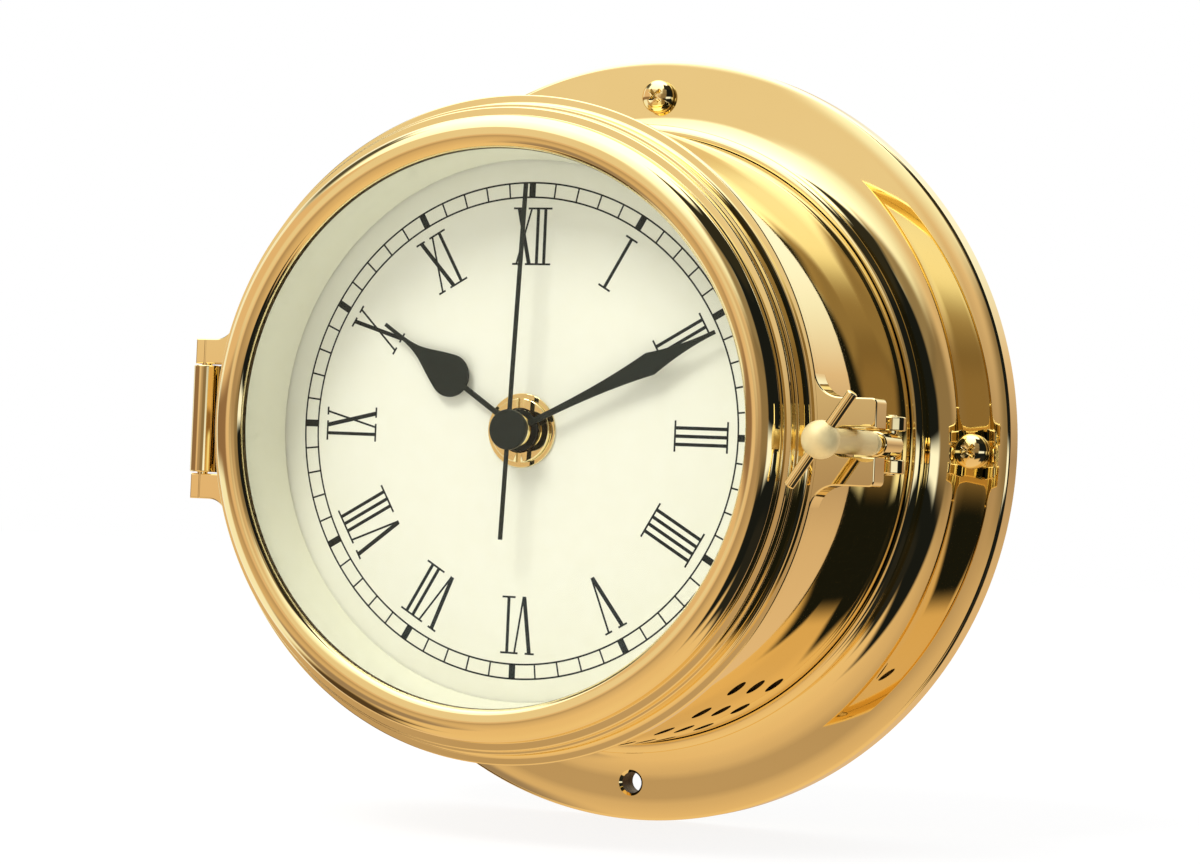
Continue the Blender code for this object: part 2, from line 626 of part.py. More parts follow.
def lug_outline():
    """The forked lug, pointing to +X, with an open slot for the bolt."""
    end = BEZEL_RADIUS + LUG_REACH
    corner = (end - LUG_CORNER, LUG_HALF_WIDTH - LUG_CORNER)
    upper = [
        *arc((LATCH_X, 0.0), SLOT_HALF_WIDTH, 180.0, 90.0, BEND_STEPS),
        (end, SLOT_HALF_WIDTH),
        *arc(corner, LUG_CORNER, 0.0, 90.0, FILLET_STEPS),
        *flare_arc(LUG_HALF_WIDTH, LUG_FLARE),
    ]
    lower = [(x, -y) for x, y in reversed(upper[1:])]
    return upper + lower


def hinge_ear_outline():
    """One hinge ear, drawn on the +X side: square to the knuckle, flared on its outer side."""
    end = -HINGE_X + HINGE_EAR_REACH
    sweep = flare_arc(HINGE_EAR_OUTER, HINGE_EAR_FLARE)
    return [(sweep[-1][0], HINGE_EAR_INNER), (end, HINGE_EAR_INNER), (end, HINGE_EAR_OUTER), *sweep]


def make_bezel():
    bead = (GLASS_OPENING + BEZEL_BEAD_INSET, BEZEL_REAR + BEZEL_BEAD_HEIGHT)
    bead_start = math.degrees(math.acos(-BEZEL_BEAD_INSET / BEZEL_BEAD_RADIUS))
    cove = (BEZEL_RADIUS, BEZEL_REAR + BEZEL_EDGE_HEIGHT + BEZEL_COVE_RADIUS)
    step = BEZEL_RADIUS - BEZEL_COVE_RADIUS - BEZEL_CHAMFER
    bezel = turned("bezel_ring", [
        (GLASS_OPENING, BEZEL_REAR + BEZEL_LIP),
        *arc(bead, BEZEL_BEAD_RADIUS, bead_start, BEZEL_BEAD_END, BEAD_STEPS),
        (step, BEZEL_REAR + BEZEL_STEP_HEIGHT),
        (step + BEZEL_CHAMFER, BEZEL_REAR + BEZEL_STEP_HEIGHT - BEZEL_STEP_RISE),
        *arc(cove, BEZEL_COVE_RADIUS, 180.0, BEZEL_COVE_END, FILLET_STEPS),
        (BEZEL_RADIUS, BEZEL_REAR + BEZEL_EDGE_HEIGHT - BEZEL_CHAMFER),
        (BEZEL_RADIUS, BEZEL_REAR + BEZEL_CHAMFER),
        (BEZEL_RADIUS - BEZEL_CHAMFER, BEZEL_REAR),
        (RABBET_RADIUS, BEZEL_REAR),
        (RABBET_RADIUS, BEZEL_REAR + BEZEL_LIP),
    ], BRASS)
    place(bezel, bezel_axis)
    thickness = EAR_REAR + EAR_FRONT
    middle = BEZEL_REAR + (EAR_FRONT - EAR_REAR) / 2.0
    seat = rod("bezel_seat", BEZEL_RADIUS + EAR_SEAT_CLEARANCE, 2.0 * BEZEL_REAR, steps=TURN_STEPS)
    place(seat, clock, (0.0, 0.0, EAR_SEAT_CLEARANCE))
    bore = place(rod("bezel_bore", HINGE_PIN_RADIUS + PIN_FIT, 4.0 * HINGE_EAR_OUTER), clock,
                 (HINGE_X, 0.0, HINGE_Z), ACROSS)
    lug = cut(place(plate("lug", [lug_outline()], thickness), clock, (0.0, 0.0, middle)), seat)
    ear = hinge_ear_outline()
    upper = plate("hinge_ear_upper", [[(-x, y) for x, y in ear]], thickness)
    lower = plate("hinge_ear_lower", [[(-x, -y) for x, y in ear]], thickness)
    for piece in (upper, lower):
        cut(place(piece, clock, (0.0, 0.0, middle)), seat, bore)
    join(bezel, lug, upper, lower)
    pin = rod("hinge_pin", HINGE_PIN_RADIUS, 2.0 * HINGE_EAR_OUTER, BRASS)
    place(pin, bezel_axis, (HINGE_X, 0.0, HINGE_Z), ACROSS)
    glass = turned("glass", [
        (0.0, GLASS_FRONT),
        (RABBET_RADIUS - SEAT, GLASS_FRONT),
        (RABBET_RADIUS - SEAT, GLASS_REAR),
        (0.0, GLASS_REAR),
    ], CLEAR)
    place(glass, bezel_axis)
    front = GLASS_REAR - SEAT
    rear = DIAL_FRONT + REFLECTOR_LIFT
    reflector = turned("reflector_ring", [
        (REFLECTOR_FRONT_RADIUS, front),
        (RABBET_RADIUS - SEAT, front),
        (RABBET_RADIUS - SEAT, front - REFLECTOR_SHEET),
        (REFLECTOR_FRONT_RADIUS + REFLECTOR_SHEET, front - REFLECTOR_SHEET),
        (REFLECTOR_REAR_RADIUS + REFLECTOR_SHEET, rear),
        (REFLECTOR_REAR_RADIUS, rear),
    ], CREAM)
    place(reflector, bezel_axis)


def make_latch():
    on_bolt = (LATCH_X, 0.0, 0.0)
    bore_end = STUD_REAR - STUD_TRAVEL - SEAT
    trunnion = turned("latch_trunnion", [
        (0.0, bore_end),
        (STUD_BORE, bore_end),
        (STUD_BORE, TRUNNION_FRONT),
        (TRUNNION_RADIUS - BARREL_CHAMFER, TRUNNION_FRONT),
        (TRUNNION_RADIUS, TRUNNION_FRONT - BARREL_CHAMFER),
        *arc((0.0, PIVOT_Z), TRUNNION_RADIUS, 0.0, -90.0, BEND_STEPS)[:-1],
        (0.0, PIVOT_Z - TRUNNION_RADIUS),
    ], BRASS, ROD_STEPS)
    eye = place(rod("trunnion_eye", LATCH_PIN_RADIUS + PIN_FIT, 4.0 * TRUNNION_RADIUS), clock,
                (LATCH_X, 0.0, PIVOT_Z), ACROSS)
    cut(place(trunnion, latch_axis, on_bolt), eye)
    stud = rod("latch_stud", STUD_RADIUS, STUD_FRONT - STUD_REAR, BRASS, ROD_STEPS)
    place(stud, latch_axis, (LATCH_X, 0.0, (STUD_FRONT + STUD_REAR) / 2.0))
    neck = -math.degrees(math.acos(BARREL_RADIUS / BALL_RADIUS))
    knob = turned("latch_knob", [
        (0.0, BALL_Z + BALL_RADIUS),
        *arc((0.0, BALL_Z), BALL_RADIUS, 90.0, neck, ROUND_STEPS)[1:],
        (BARREL_RADIUS, BARREL_REAR + BARREL_CHAMFER),
        (BARREL_RADIUS - BARREL_CHAMFER, BARREL_REAR),
        (STUD_BORE, BARREL_REAR),
        (STUD_BORE, STUD_FRONT + SEAT),
        (0.0, STUD_FRONT + SEAT),
    ], BRASS, ROD_STEPS)
    at = (LATCH_X, 0.0, BALL_Z)
    along_bar = (0.0, math.pi / 2.0, math.radians(BAR_ANGLE))
    hole = place(rod("bar_hole", BAR_RADIUS + PIN_FIT, 4.0 * BALL_RADIUS), clock, at, along_bar)
    cut(place(knob, latch_axis, on_bolt), hole)
    half = BAR_LENGTH / 2.0
    bar = turned("tommy_bar", [
        (0.0, half),
        (BAR_RADIUS - BAR_END, half),
        (BAR_RADIUS, half - BAR_END),
        (BAR_RADIUS, BAR_END - half),
        (BAR_RADIUS - BAR_END, -half),
        (0.0, -half),
    ], BRASS, PIN_STEPS)
    place(bar, latch_axis, at, along_bar)


def make_movement():
    housing = block("movement_housing", (HOUSING_WIDTH, HOUSING_HEIGHT, HOUSING_DEPTH), BLACK)
    bevel = housing.modifiers.new("edges", "BEVEL")
    bevel.width = HOUSING_EDGE
    bevel.segments = 2
    place(housing, clock, (0.0, 0.0, (HOUSING_FRONT + HOUSING_REAR) / 2.0))
    centre_hole = turned("arbor_hole", [
        (0.0, DIAL_FRONT),
        (BUSH_HOLE, DIAL_FRONT),
        (BUSH_HOLE, BUSH_REAR - SEAT),
        (BUSH_BORE, BUSH_REAR - SEAT),
        (BUSH_BORE, ARBOR_REAR - 2.0 * ARBOR_STEP - SEAT),
        (0.0, ARBOR_REAR - 2.0 * ARBOR_STEP - SEAT),
    ], steps=ROD_STEPS)
    stem_hole = rod("stem_hole", STEM_RADIUS + PIN_FIT, 2.0 * (STEM_LENGTH + SEAT))
    bay_top = HOUSING_FRONT - BAY_FLOOR
    bay = block("cell_bay", (BAY_LENGTH, 2.0 * (CELL_RADIUS + SEAT), 2.0 * (bay_top - HOUSING_REAR)))
    cut(housing,
        place(centre_hole, clock),
        place(stem_hole, clock, (0.0, KNOB_RISE, HOUSING_REAR)),
        place(bay, clock, (0.0, -CELL_DROP, HOUSING_REAR)))
    place(ring("centre_bush", BUSH_BORE, BUSH_RADIUS, BUSH_REAR, NUT_FRONT, BRASS, ROD_STEPS), clock)
    gasket_front = GASKET_REAR + GASKET_THICKNESS
    place(ring("dial_gasket", BUSH_HOLE, GASKET_RADIUS, GASKET_REAR, gasket_front, RUBBER, ROD_STEPS), clock)
    washer_front = WASHER_REAR + WASHER_THICKNESS
    place(ring("dial_washer", BUSH_HOLE, WASHER_RADIUS, WASHER_REAR, washer_front, BRASS, ROD_STEPS), clock)
    nut = turned("dial_nut", [
        (BUSH_HOLE, NUT_FRONT),
        (NUT_RADIUS - NUT_CHAMFER, NUT_FRONT),
        (NUT_RADIUS, NUT_FRONT - NUT_CHAMFER),
        (NUT_RADIUS, NUT_REAR),
        (BUSH_HOLE, NUT_REAR),
    ], BRASS, ROD_STEPS)
    slot = block("nut_slot", (NUT_SLOT, 4.0 * NUT_RADIUS, NUT_THICKNESS))
    cut(place(nut, clock), place(slot, clock, (0.0, 0.0, NUT_FRONT)))
    make_cell()
    knob = turned("setting_knob", [
        (0.0, STEM_LENGTH),
        (STEM_RADIUS, STEM_LENGTH),
        (STEM_RADIUS, -SEAT),
        (KNOB_RADIUS, -SEAT),
        (KNOB_RADIUS, -SEAT - KNOB_THICKNESS + KNOB_EDGE),
        (KNOB_RADIUS - KNOB_EDGE, -SEAT - KNOB_THICKNESS),
        (0.0, -SEAT - KNOB_THICKNESS),
    ], BLACK, ROD_STEPS)
    place(knob, knob_axis, (0.0, KNOB_RISE, HOUSING_REAR))


def make_cell():
    """The cell lies along X, its positive end against a plate and its negative end against a leaf spring."""
    positive = BAY_LENGTH / 2.0 - 2.0 * SEAT - CONTACT_THICKNESS
    shoulder = -CELL_NUB_LENGTH
    end = shoulder - CELL_LENGTH
    cell = turned("battery_cell", [
        (0.0, 0.0),
        (CELL_NUB_RADIUS, 0.0),
        (CELL_NUB_RADIUS, shoulder),
        (CELL_RADIUS - CELL_EDGE, shoulder),
        (CELL_RADIUS, shoulder - CELL_EDGE),
        (CELL_RADIUS, end + CELL_EDGE),
        (CELL_RADIUS - CELL_EDGE, end),
        (0.0, end),
    ], CELL, ROD_STEPS)
    place(cell, clock, (positive, -CELL_DROP, CELL_Z), SIDEWAYS)
    contact = block("contact_plate", (CONTACT_THICKNESS, CONTACT_WIDTH, CONTACT_HEIGHT), STEEL)
    place(contact, clock, (BAY_LENGTH / 2.0 - SEAT - CONTACT_THICKNESS / 2.0, -CELL_DROP, CELL_Z))
    wall = SEAT - BAY_LENGTH / 2.0
    foot = CONTACT_HEIGHT / 2.0
    bow = wall + SPRING_LENGTH
    leaf = [
        (wall, -foot),
        (wall + CONTACT_THICKNESS, -foot),
        (bow, 0.0),
        (wall + CONTACT_THICKNESS, foot),
        (wall, foot),
        (bow - CONTACT_THICKNESS, 0.0),
    ]
    spring = plate("contact_spring", [leaf], CONTACT_WIDTH, STEEL)
    place(spring, clock, (0.0, -CELL_DROP, CELL_Z), ACROSS)


def mirrored(side):
    """A closed outline from its right-hand side, listed from the hub out to the tip."""
    return side + [(-x, y) for x, y in reversed(side)]


def hub_arc(radius, stem):
    """The hub's right side, from below the centre up to the stem."""
    top = 90.0 - math.degrees(math.asin(stem / 2.0 / radius))
    return arc((0.0, 0.0), radius, HUB_START, top, ROUND_STEPS)


def sweep(start, start_pull, end, end_pull):
    knots = [Vector(point) for point in (start, start_pull, end_pull, end)]
    points = interpolate_bezier(*knots, SWEEP_POINTS)
    return [(point.x, point.y) for point in points]


def round_hole(radius):
    return arc((0.0, 0.0), radius, 0.0, 360.0, ROD_STEPS)[:-1]


def hour_outline():
    """A spade hand: a thin stem, a round spade drawn out in a hollow curve, and a narrow tip."""
    spade = (0.0, HOUR_SPADE_CENTRE)
    neck = -90.0 + math.degrees(math.asin(HOUR_STEM / 2.0 / HOUR_SPADE_RADIUS))
    bow = arc(spade, HOUR_SPADE_RADIUS, neck, HOUR_SPADE_SHOULDER, ROUND_STEPS)
    lean = math.radians(HOUR_SPADE_SHOULDER)
    pull = (HOUR_LENGTH - HOUR_TIP_LENGTH - bow[-1][1]) / 2.0
    start_pull = (bow[-1][0] - pull * math.sin(lean), bow[-1][1] + pull * math.cos(lean))
    tip = (HOUR_TIP / 2.0, HOUR_LENGTH - HOUR_TIP_LENGTH)
    taper = sweep(bow[-1], start_pull, tip, (tip[0], tip[1] - pull))
    end = (HOUR_TIP / 2.0, HOUR_LENGTH)
    return mirrored([*hub_arc(HOUR_HUB, HOUR_STEM), *bow, *taper[1:], end])


def minute_outline():
    """A leaf hand: hollow sides out to a sharp shoulder, then hollow again to a narrow tip."""
    length = REFLECTOR_REAR_RADIUS - MINUTE_MARGIN
    hub = hub_arc(MINUTE_HUB, MINUTE_STEM)
    shoulder = (MINUTE_WIDEST / 2.0, MINUTE_WIDEST_AT)
    rise = (MINUTE_WIDEST_AT - hub[-1][1]) / 2.0
    rear_pull = (MINUTE_REAR_PULL * shoulder[0], MINUTE_WIDEST_AT - 0.5 * rise)
    rear = sweep(hub[-1], (hub[-1][0], hub[-1][1] + rise), shoulder, rear_pull)
    tip = (MINUTE_TIP / 2.0, length)
    run = (length - MINUTE_WIDEST_AT) / 2.0
    front_pull = (MINUTE_FRONT_PULL * shoulder[0], MINUTE_WIDEST_AT + 0.5 * run)
    front = sweep(shoulder, front_pull, tip, (tip[0], length - MINUTE_TIP_PULL * run))
    return mirrored([*hub, *rear[1:], *front[1:]])


def second_outline():
    half = SECOND_WIDTH / 2.0
    length = REFLECTOR_REAR_RADIUS - SECOND_MARGIN
    return [(half, -SECOND_TAIL), (half, length), (-half, length), (-half, -SECOND_TAIL)]


def make_hands():
    hour_loops = [hour_outline(), round_hole(HOUR_TUBE_RADIUS + SEAT)]
    minute_loops = [minute_outline(), round_hole(MINUTE_ARBOR_RADIUS + SEAT)]
    hour = plate("hour_hand", hour_loops, HAND_THICKNESS, CHARCOAL)
    minute = plate("minute_hand", minute_loops, HAND_THICKNESS, CHARCOAL)
    for hand, rear, angle in ((hour, HOUR_REAR, HOUR_ANGLE), (minute, MINUTE_REAR, MINUTE_ANGLE)):
        place(hand, hand_axis, (0.0, 0.0, rear + HAND_THICKNESS / 2.0), (0.0, 0.0, -math.radians(angle)))
    cap_front = SECOND_REAR + CAP_HEIGHT
    arbor_front = SECOND_REAR + SECOND_THICKNESS
    second = turned("second_hand", [
        (0.0, cap_front),
        (CAP_RADIUS - CAP_EDGE, cap_front),
        (CAP_RADIUS, cap_front - CAP_EDGE),
        (CAP_RADIUS, SECOND_REAR),
        (0.0, SECOND_REAR),
    ], CHARCOAL, ROD_STEPS)
    strip = plate("second_strip", [second_outline()], SECOND_THICKNESS)
    socket = rod("second_socket", SECOND_ARBOR_RADIUS + SEAT, 2.0 * (SECOND_THICKNESS + SEAT))
    turn = (0.0, 0.0, -math.radians(SECOND_ANGLE))
    place(second, hand_axis, turn=turn)
    join(second, place(strip, clock, (0.0, 0.0, SECOND_REAR + CAP_HEIGHT / 2.0), turn))
    cut(second, place(socket, clock, (0.0, 0.0, SECOND_REAR)))
    hour_front = HOUR_REAR + HAND_THICKNESS
    collar = MINUTE_FRONT + PIN_FIT
    arbor_bore = MINUTE_ARBOR_RADIUS - ARBOR_WALL
    hour_tube = ring("hour_tube", HOUR_TUBE_RADIUS - ARBOR_WALL, HOUR_TUBE_RADIUS, ARBOR_REAR, hour_front,
                     BRASS, ROD_STEPS)
    minute_arbor = turned("minute_arbor", [
        (arbor_bore, collar + COLLAR_THICKNESS),
        (COLLAR_RADIUS - CAP_EDGE, collar + COLLAR_THICKNESS),
        (COLLAR_RADIUS, collar + COLLAR_THICKNESS - CAP_EDGE),
        (COLLAR_RADIUS, collar),
        (MINUTE_ARBOR_RADIUS, collar),
        (MINUTE_ARBOR_RADIUS, ARBOR_REAR - ARBOR_STEP),
        (arbor_bore, ARBOR_REAR - ARBOR_STEP),
    ], BRASS, ROD_STEPS)
    arbor_rear = ARBOR_REAR - 2.0 * ARBOR_STEP
    second_arbor = rod("second_arbor", SECOND_ARBOR_RADIUS, arbor_front - arbor_rear, STEEL)
    place(hour_tube, hand_axis)
    place(minute_arbor, hand_axis)
    place(second_arbor, hand_axis, (0.0, 0.0, (arbor_front + arbor_rear) / 2.0))


def settle():
    """Give each part its finished mesh, smooth except at its edges."""
    bpy.context.view_layer.update()
    graph = bpy.context.evaluated_depsgraph_get()
    solids = [obj for obj in parts.objects if obj.type == "MESH"]
    finished = {obj: bpy.data.meshes.new_from_object(obj.evaluated_get(graph)) for obj in solids}
    for obj, mesh in finished.items():
        obj.modifiers.clear()
        mesh.name = obj.name
        obj.data = mesh
        mesh.shade_smooth()
        mesh.set_sharp_from_angle(angle=SMOOTH_ANGLE)


make_case_body()
make_base_flange()
for hour, screw_angle in ((12, 0.0), (3, 90.0), (9, 270.0)):
    make_mounting_screw("mounting_screw_%d" % hour, screw_angle)
make_hinge_knuckle()
make_latch_ears()
make_dial()
make_bezel()
make_latch()
make_movement()
make_hands()
settle()
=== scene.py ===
"""Looks of a brass ship's clock: finished surfaces, printed dial, hands, studio and camera.

Pieces are drawn in the bench frame, in millimetres: X to 3 o'clock, Y to 12 o'clock, and the height above the
back of the flange as the third value. stand() turns that into the clock's own frame, in metres.
"""
import math

import bpy
from mathutils import Matrix, Vector
from mathutils.geometry import delaunay_2d_cdt, interpolate_bezier, tessellate_polygon
from mathutils.kdtree import KDTree


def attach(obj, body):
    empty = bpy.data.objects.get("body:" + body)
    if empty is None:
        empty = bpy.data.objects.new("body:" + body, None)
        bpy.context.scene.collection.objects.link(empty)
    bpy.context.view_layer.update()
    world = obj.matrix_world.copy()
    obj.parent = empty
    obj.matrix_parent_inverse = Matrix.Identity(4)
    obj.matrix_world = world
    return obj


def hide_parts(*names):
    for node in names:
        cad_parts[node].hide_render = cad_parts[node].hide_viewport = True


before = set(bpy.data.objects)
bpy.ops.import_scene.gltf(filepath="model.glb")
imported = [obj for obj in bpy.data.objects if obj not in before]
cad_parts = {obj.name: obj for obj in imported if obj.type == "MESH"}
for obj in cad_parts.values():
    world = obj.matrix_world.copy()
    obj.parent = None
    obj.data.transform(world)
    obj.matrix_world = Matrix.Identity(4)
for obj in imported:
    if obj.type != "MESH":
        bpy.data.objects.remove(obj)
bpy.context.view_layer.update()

# Lengths are in millimetres and angles in degrees, unless a comment says otherwise
MM = 0.001
WELD = 5e-7  # metres
NEAR = 1e-6
SHARP = math.radians(30.0)
MITRE_LIMIT = 0.3
BEND_STEP = 5.0
ROUND_STEP = 15.0
TURN_STEPS = 256
NUT_STEPS = 96
SMALL_STEPS = 64
BAR_STEPS = 48
PIN_STEPS = 32
SEAT_GAP = 0.3

# Flange and spigot
FLANGE_RADIUS = 76.0
FLANGE_FACE = 5.6
FLANGE_BEVEL = 0.4
FLANGE_SHOULDER = 71.5
CORNER_RADIUS = 0.8
CORNER_END = 78.0
CORNER_TURN = math.radians(CORNER_END)
SHOULDER_RADIUS = CORNER_RADIUS + (FLANGE_RADIUS - CORNER_RADIUS - FLANGE_SHOULDER) / math.cos(CORNER_TURN)
EDGE_HEIGHT = FLANGE_FACE - SHOULDER_RADIUS + (SHOULDER_RADIUS - CORNER_RADIUS) * math.sin(CORNER_TURN)
NECK_RADIUS = 60.6
NECK_TOP = 13.8
NECK_BEAD = 1.5
FLANGE_SWEEP = (7.4, 2.8)
SWEEP_CENTRE = (NECK_RADIUS + FLANGE_SWEEP[0], FLANGE_FACE + FLANGE_SWEEP[1])
SWEEP_SPLIT = 240.0
SWEEP_STEPS = 8
SPIGOT_RADIUS = 58.35
SPIGOT_FOOT = 16.675
SPIGOT_TOP = 21.975
SCREW_CIRCLE = 68.608
SCREW_HOLE = 2.1
HOLE_CHAMFER = 0.5
SCREW_PATCH = 4

# Tube; vents are places (degrees round the clock, height)
BODY_RADIUS = 60.0
BODY_INNER = 57.0
BODY_REAR = SPIGOT_FOOT + SEAT_GAP
BODY_FRONT = 66.4
COUNTERBORE = SPIGOT_RADIUS + SEAT_GAP
COUNTERBORE_END = SPIGOT_TOP + SEAT_GAP
LEDGE_INNER = 54.0
LEDGE_TOP = 59.7
LEDGE_FOOT = 56.7
LEDGE_REAR = 55.7
VENT_RADIUS = 2.1
VENT_ROWS = (27.1875, 36.4875, 45.7875)
VENT_COLUMNS = 11
VENT_ANGLE = 8.0
VENT_STEPS = 40
VENT_SPOKES = 64
VENT_GRID = 14
VENT_MARGIN = 0.5
VENTS = []
for vent_column in range(VENT_COLUMNS):
    for vent_row in VENT_ROWS:
        VENTS.append((180.0 + (vent_column - (VENT_COLUMNS - 1) / 2.0) * VENT_ANGLE, vent_row))

# Profiles are corners (radius, height, rounding), arcs are (radius, start, end), rods are (radius, low, high,
# rounding of the low end, rounding of the high end), and rings are (inner, outer, low, high, rounding)

# Bezel
BEZEL_RADIUS = 61.5
BEZEL_RIM = 68.6
BEZEL_BORE = 54.5
BEAD_RADIUS = 57.1
BEAD_HEIGHT = 75.17
GLASS_SEAT = 75.7
BEZEL_OUTSIDE = ((BEZEL_BORE, GLASS_SEAT), (BEZEL_BORE, 66.7), (61.2, 66.7), (BEZEL_RADIUS, 67.0, 0.15),
                 (BEZEL_RADIUS, BEZEL_RIM, 0.25), (59.55, BEZEL_RIM, 0.8), (59.4, 72.45, 0.2),
                 (58.75, 72.45, 0.15), (58.65, 74.1, 0.25), (BEAD_RADIUS, 74.1, 0.2),
                 (BEAD_RADIUS, BEAD_HEIGHT))
BEAD_ARCS = ((BEAD_RADIUS - BEZEL_BORE, 0.0, 65.0), (5.0, 65.0, 110.0), (1.3, 110.0, 165.0))
BEZEL_LIP = ((50.884, 76.4), (50.884, GLASS_SEAT), (BEZEL_BORE, GLASS_SEAT))
REHAUT = ((50.3, 61.4), (51.5, 61.4), (53.9, 71.9), (54.2, 71.9), (54.2, 73.1), (53.0, 73.1, 0.15))
PANE = ((0.0, 73.4), (54.0, 73.4), (54.2, 73.6), (54.2, 75.2), (54.0, 75.4), (0.0, 75.4))

# Lug and hinge
LUG_REAR = 63.4
LUG_FRONT = 68.58
LUG_END = 72.2
LUG_HALF = 7.8
LUG_CORNER = 1.0
LUG_FLARE = 5.0
LUG_ROOT = 58.9
LUG_EDGE = 0.3
SLOT_HALF = 2.6
EAR_INNER = 10.5
EAR_OUTER = 15.3
EAR_END = 66.85
EAR_FLARE = 4.0
HINGE_X = -64.8
HINGE_HEIGHT = 67.6
HINGE_PIN = (1.0, -EAR_OUTER, EAR_OUTER, 0.3, 0.3)
BARREL_RADIUS = 2.4
BARREL_HALF = 10.2
BARREL_EDGE = 0.25
BARREL_END = 200.0
WEB_X = -60.3
WEB_REAR = 57.8
WEB_FRONT = 66.1

# Latch
LATCH_X = 66.3
PIVOT = 44.5
PIVOT_PIN = (1.0, -5.5, 5.5, 0.25, 0.25)
PIN_BORE = (1.15, -9.0, 9.0)
FORK_RADIUS = 2.6
FORK_SPREAD = 2.0
FORK_MIDDLE = 3.9
FORK_HALF = 1.3
FORK_EDGE = 0.3
EYE_RADIUS = 2.3
EYE = ((EYE_RADIUS, PIVOT), (EYE_RADIUS, 53.0, 0.35), (1.45, 53.0), (1.45, 47.4), (0.0, 47.4))
KNOB_RADIUS = 2.2
KNOB = ((0.0, 62.3), (1.45, 62.3), (1.45, 55.0), (KNOB_RADIUS, 55.0, 0.3), (KNOB_RADIUS, 56.3),
        (1.95, 56.5), (1.95, 56.8), (KNOB_RADIUS, 57.0))
BALL_RADIUS = 3.4
BALL_HEIGHT = 79.8
BAR_ANGLE = 56.0
TOMMY_BAR = (1.0, -10.0, 10.0, 0.35, 0.35)
THREAD_RADIUS = 1.3
THREAD_DEPTH = 0.25
THREAD_PITCH = 0.8
THREAD_REAR = 49.3
THREAD_FRONT = 62.0
THREAD_STEPS = 36
THREAD_ROWS = 12

# Flange screws
SCREW_HOURS = (12, 3, 9)
SCREW_SEAT = FLANGE_FACE + SEAT_GAP
HEAD_RADIUS = 3.3
HEAD_RIM = SCREW_SEAT + 0.75
HEAD_DOME = 1.65
SCREW = ((0.0, -12.0), (0.25, -12.0), (1.95, -9.0), (1.95, SCREW_SEAT), (HEAD_RADIUS, SCREW_SEAT, 0.15),
         (HEAD_RADIUS, HEAD_RIM))
RECESS_FLOOR = SCREW_SEAT + 1.0
RECESS_MOUTH = SCREW_SEAT + 2.6
RECESS = ((-1.9, RECESS_MOUTH), (-0.9, RECESS_FLOOR), (0.9, RECESS_FLOOR), (1.9, RECESS_MOUTH))
RECESS_HALF = 0.42

# Printing; letters are (foot, top, width) of each stroke and (left, right, at the top) of each bar
DIAL_FACE = 61.0
INK_FLOOR = DIAL_FACE + 0.004
INK_TOP = DIAL_FACE + 0.02
INK_MERGE = 1e-5
NUMERAL_FOOT = 30.7
NUMERAL_TOP = 41.4
STROKE_I = 0.62
STROKE_THICK = 0.80
STROKE_THIN = 0.38
BAR_THICKNESS = 0.36
I_SPACING = 1.5
BAR_OVERHANG = 1.35
LETTER_V = (((0.0, -1.45, STROKE_THICK), (0.15, 1.65, STROKE_THIN)),
            ((-2.45, -0.55, True), (0.9, 2.4, True)))
LETTER_X = (((1.25, -1.25, STROKE_THICK), (-1.45, 1.45, STROKE_THIN)),
            ((-2.35, -0.4, True), (0.7, 2.2, True), (-2.25, -0.75, False), (0.4, 2.35, False)))
TRACK_INNER = 43.3
TRACK_OUTER = 46.0
TRACK_LINE = 0.32
BLOCK_WIDTH = 1.3

# Hands: widths are from the middle out, and pulls are shares of the way that shape a curve
HAND_THICKNESS = 0.4
HAND_EDGE = 0.08
HUB_START = -88.0
HOUR_ANGLE = 303.4
HOUR_REAR = 62.35
HOUR_BORE = 2.8
HOUR_HUB = 3.9
HOUR_STEM = 0.5
HOUR_LENGTH = 34.6
HOUR_TIP = (0.35, HOUR_LENGTH - 3.4)
SPADE_CENTRE = 17.7
SPADE_RADIUS = 4.0
SPADE_LEAN = 20.0
MINUTE_ANGLE = 64.2
MINUTE_REAR = 63.8
MINUTE_BORE = 1.9
MINUTE_HUB = 2.7
MINUTE_STEM = 0.55
MINUTE_TIP = (0.375, 43.5)
LEAF_SHOULDER = (2.15, 29.6)
LEAF_REAR_PULL = (0.55, 0.5)
LEAF_FRONT_PULL = (0.6, 0.5)
LEAF_TIP_PULL = 0.8
COLLAR = ((1.0, 43.0), (1.6, 43.0), (1.6, 64.35), (3.3, 64.35), (3.3, 65.15, 0.3), (1.0, 65.15))
SECOND_ANGLE = 1.9
SECOND_BLADE = (-0.425, 0.425, -20.3, 45.5)
SECOND_LEVELS = (66.8, 67.1)
SECOND_EDGE = 0.06
SECOND_CAP = (3.75, 66.5, 67.4, 0.0, 0.3)

# Centre and back
WASHER = (4.2, 6.9, 61.15, 61.45, 0.12)
NUT = (4.2, 5.95, 61.6, 62.2, 0.2)
NUT_SLOT = (-0.5, 0.5, -9.0, 9.0)
NUT_SLOT_LEVELS = (61.8, 63.0)
HOUSING_REAR = 42.8
COVER_REAR = HOUSING_REAR - 0.8
COVER_EDGE = 0.2
COVER_RIGHT = 24.0
COVER_TOP = 23.0
COVER_FOOT = -7.0
COVER_ROUND = 2.5
COVER_SCREW = (1.6, COVER_REAR - 0.9, COVER_REAR, 0.5)
SETTING_RISE = 9.0
SETTING_MOUTH = 6.2
SETTING_RADIUS = 5.0
SETTING_TEETH = 36
TOOTH_DEPTH = 0.35
SETTING_REAR = HOUSING_REAR - 4.7
SETTING_FRONT = HOUSING_REAR - 0.3
SETTING_EDGE = 0.3
SETTING_STEM = (1.2, SETTING_FRONT, HOUSING_REAR + 4.0)
CELL_AXIS = (-18.0, 50.35)
CELL_SHOULDER = 24.9
CELL = (7.25, -24.6, CELL_SHOULDER, 0.8, 0.8)
TERMINAL = (2.75, CELL_SHOULDER, CELL_SHOULDER + 1.0, 0.0, 0.2)

